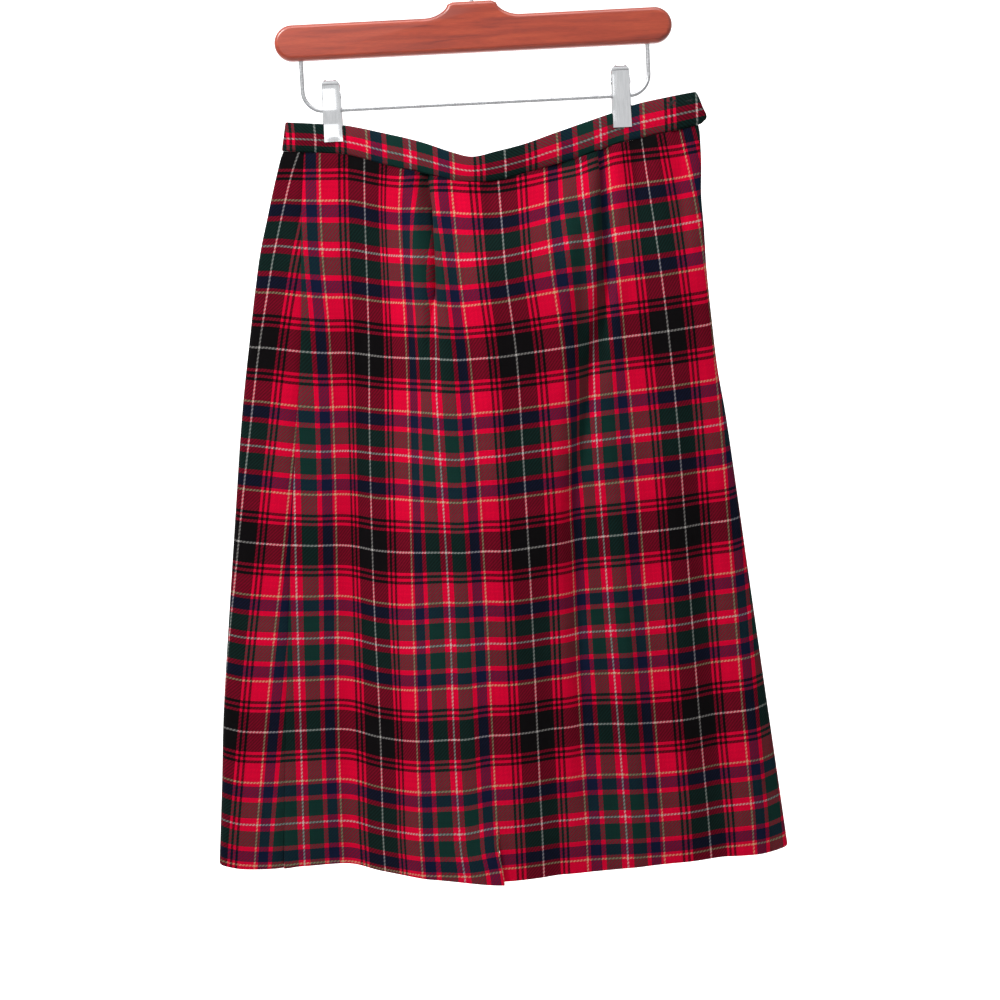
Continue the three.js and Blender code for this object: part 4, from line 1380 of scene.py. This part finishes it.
class TARTAN_OT_studio(bpy.types.Operator):
    """Make the pale sweep, soft lights and camera"""

    bl_idname = "tartan.studio"
    bl_label = "Studio"

    def execute(self, context):
        scene, studio = context.scene, context.scene.tartan_studio
        bm = bmesh.new()
        steps = SWEEP["rows"] - 1
        bmesh.ops.create_grid(bm, x_segments=2, y_segments=steps, size=0.5)
        for k, vert in enumerate(sorted(bm.verts, key=lambda v: v.index)):
            row, column = divmod(k, 3)
            vert.co = ((column - 1) * SWEEP["half"], *sweep_point(row / steps))
        sweep = finish_mesh(bm, "backdrop", [paper(studio)])
        world = bpy.data.worlds.new("studio")
        scene.world = world
        world.use_nodes = True
        # The room looks white to the lens, but lights the pieces only as strongly as the fill says.
        tree = world.node_tree
        tree.nodes.clear()
        ray = put(tree, "ShaderNodeLightPath")
        seen = maths(tree, "MULTIPLY_ADD", ray.outputs["Is Glossy Ray"], 0.7, ray.outputs["Is Camera Ray"])
        strength = ranged(tree, seen, studio.sky, 1.0)
        room = put(tree, "ShaderNodeBackground", None, {"Color": (1, 1, 1, 1), "Strength": strength})
        put(tree, "ShaderNodeOutputWorld", None, {"Surface": room.outputs[0]})
        for name, place, target, size, share in LIGHTS:
            light = bpy.data.lights.new(name, "AREA")
            light.shape = "RECTANGLE"
            light.size, light.size_y = size
            light.energy = studio.key * share
            lamp = bpy.data.objects.new(name, light)
            way = Vector(target) - Vector(place)
            lamp.matrix_world = Matrix.Translation(place) @ way.to_track_quat("-Z", "Y").to_matrix().to_4x4()
            scene.collection.objects.link(lamp)
        camera = bpy.data.cameras.new("camera")
        camera.lens, camera.sensor_width = CAMERA["lens"], CAMERA["sensor"]
        camera.clip_start, camera.clip_end = CAMERA_REACH
        seat = bpy.data.objects.new("camera", camera)
        seat.matrix_world = (
            Matrix.Translation(Vector(CAMERA["place"]) * MM)
            @ Matrix.Rotation(math.radians(CAMERA["pitch"]), 4, "X")
            @ Matrix.Rotation(math.radians(CAMERA["roll"]), 4, "Z")
        )
        scene.collection.objects.link(seat)
        scene.camera = seat
        scene.view_settings.view_transform = "Standard"
        return {"FINISHED"}


def sweep_point(share):
    """Side view of the backdrop: floor, a wide curve and a wall."""
    floor_y, wall_y, floor_z, bend = (SWEEP[key] for key in ("floor_y", "wall_y", "floor_z", "bend"))
    flat = wall_y - bend - floor_y
    curve = math.pi / 2 * bend
    at = share * (flat + curve + SWEEP["rise"])
    if at < flat:
        return floor_y + at, floor_z
    if at < flat + curve:
        turn = (at - flat) / bend
        return wall_y - bend + bend * math.sin(turn), floor_z + bend - bend * math.cos(turn)
    return wall_y, floor_z + bend + at - flat - curve


def paper(studio):
    """Matt translucent paper, near white with a faint tooth, lit from behind where it hangs."""
    material, tree, shader = fresh("backlit_backdrop_paper", roughness=0.95, emission_color=(1, 1, 1, 1))
    where = object_place(tree)
    split = put(tree, "ShaderNodeSeparateXYZ", None, {0: where})
    glow = ranged(tree, split.outputs["Y"], 0.02, studio.glow, 0.0, 0.38)
    # The lens sees it white all over.
    ray = put(tree, "ShaderNodeLightPath")
    white = maths(tree, "MULTIPLY", ray.outputs["Is Camera Ray"], studio.glow)
    tone = blend(tree, noise(tree, where, 400.0), linear(studio.floor), linear("#FFFFFF"))
    feed(tree, shader, emission_strength=maths(tree, "MAXIMUM", glow, white), base_color=tone)
    return material


CLASSES = (
    TARTAN_PG_cloth, TARTAN_PG_hanger, TARTAN_PG_studio, TARTAN_OT_front_panel, TARTAN_OT_back_panel,
    TARTAN_OT_waistband, TARTAN_OT_hanger, TARTAN_OT_clips, TARTAN_OT_studio,
)
STEPS = ("studio", "waistband", "front_panel", "back_panel", "hanger", "clips")


class TARTAN_PT_skirt(bpy.types.Panel):
    bl_idname = "TARTAN_PT_skirt"
    bl_label = "Tartan skirt"
    bl_space_type = "VIEW_3D"
    bl_region_type = "UI"
    bl_category = "Skirt"

    def draw(self, context):
        for step in STEPS:
            self.layout.operator(f"tartan.{step}")
        for settings in ("tartan_cloth", "tartan_hanger", "tartan_studio"):
            group = getattr(context.scene, settings)
            for name in type(group).__annotations__:
                self.layout.prop(group, name)


def register():
    for kind in (*CLASSES, TARTAN_PT_skirt):
        bpy.utils.register_class(kind)
    bpy.types.Scene.tartan_cloth = PointerProperty(type=TARTAN_PG_cloth)
    bpy.types.Scene.tartan_hanger = PointerProperty(type=TARTAN_PG_hanger)
    bpy.types.Scene.tartan_studio = PointerProperty(type=TARTAN_PG_studio)


def unregister():
    for name in ("tartan_cloth", "tartan_hanger", "tartan_studio"):
        delattr(bpy.types.Scene, name)
    for kind in reversed((*CLASSES, TARTAN_PT_skirt)):
        bpy.utils.unregister_class(kind)


def main():
    register()
    for step in STEPS:
        if "FINISHED" not in getattr(bpy.ops.tartan, step)():
            raise RuntimeError(f"{step} didn't finish")


if __name__ == "__main__":
    main()
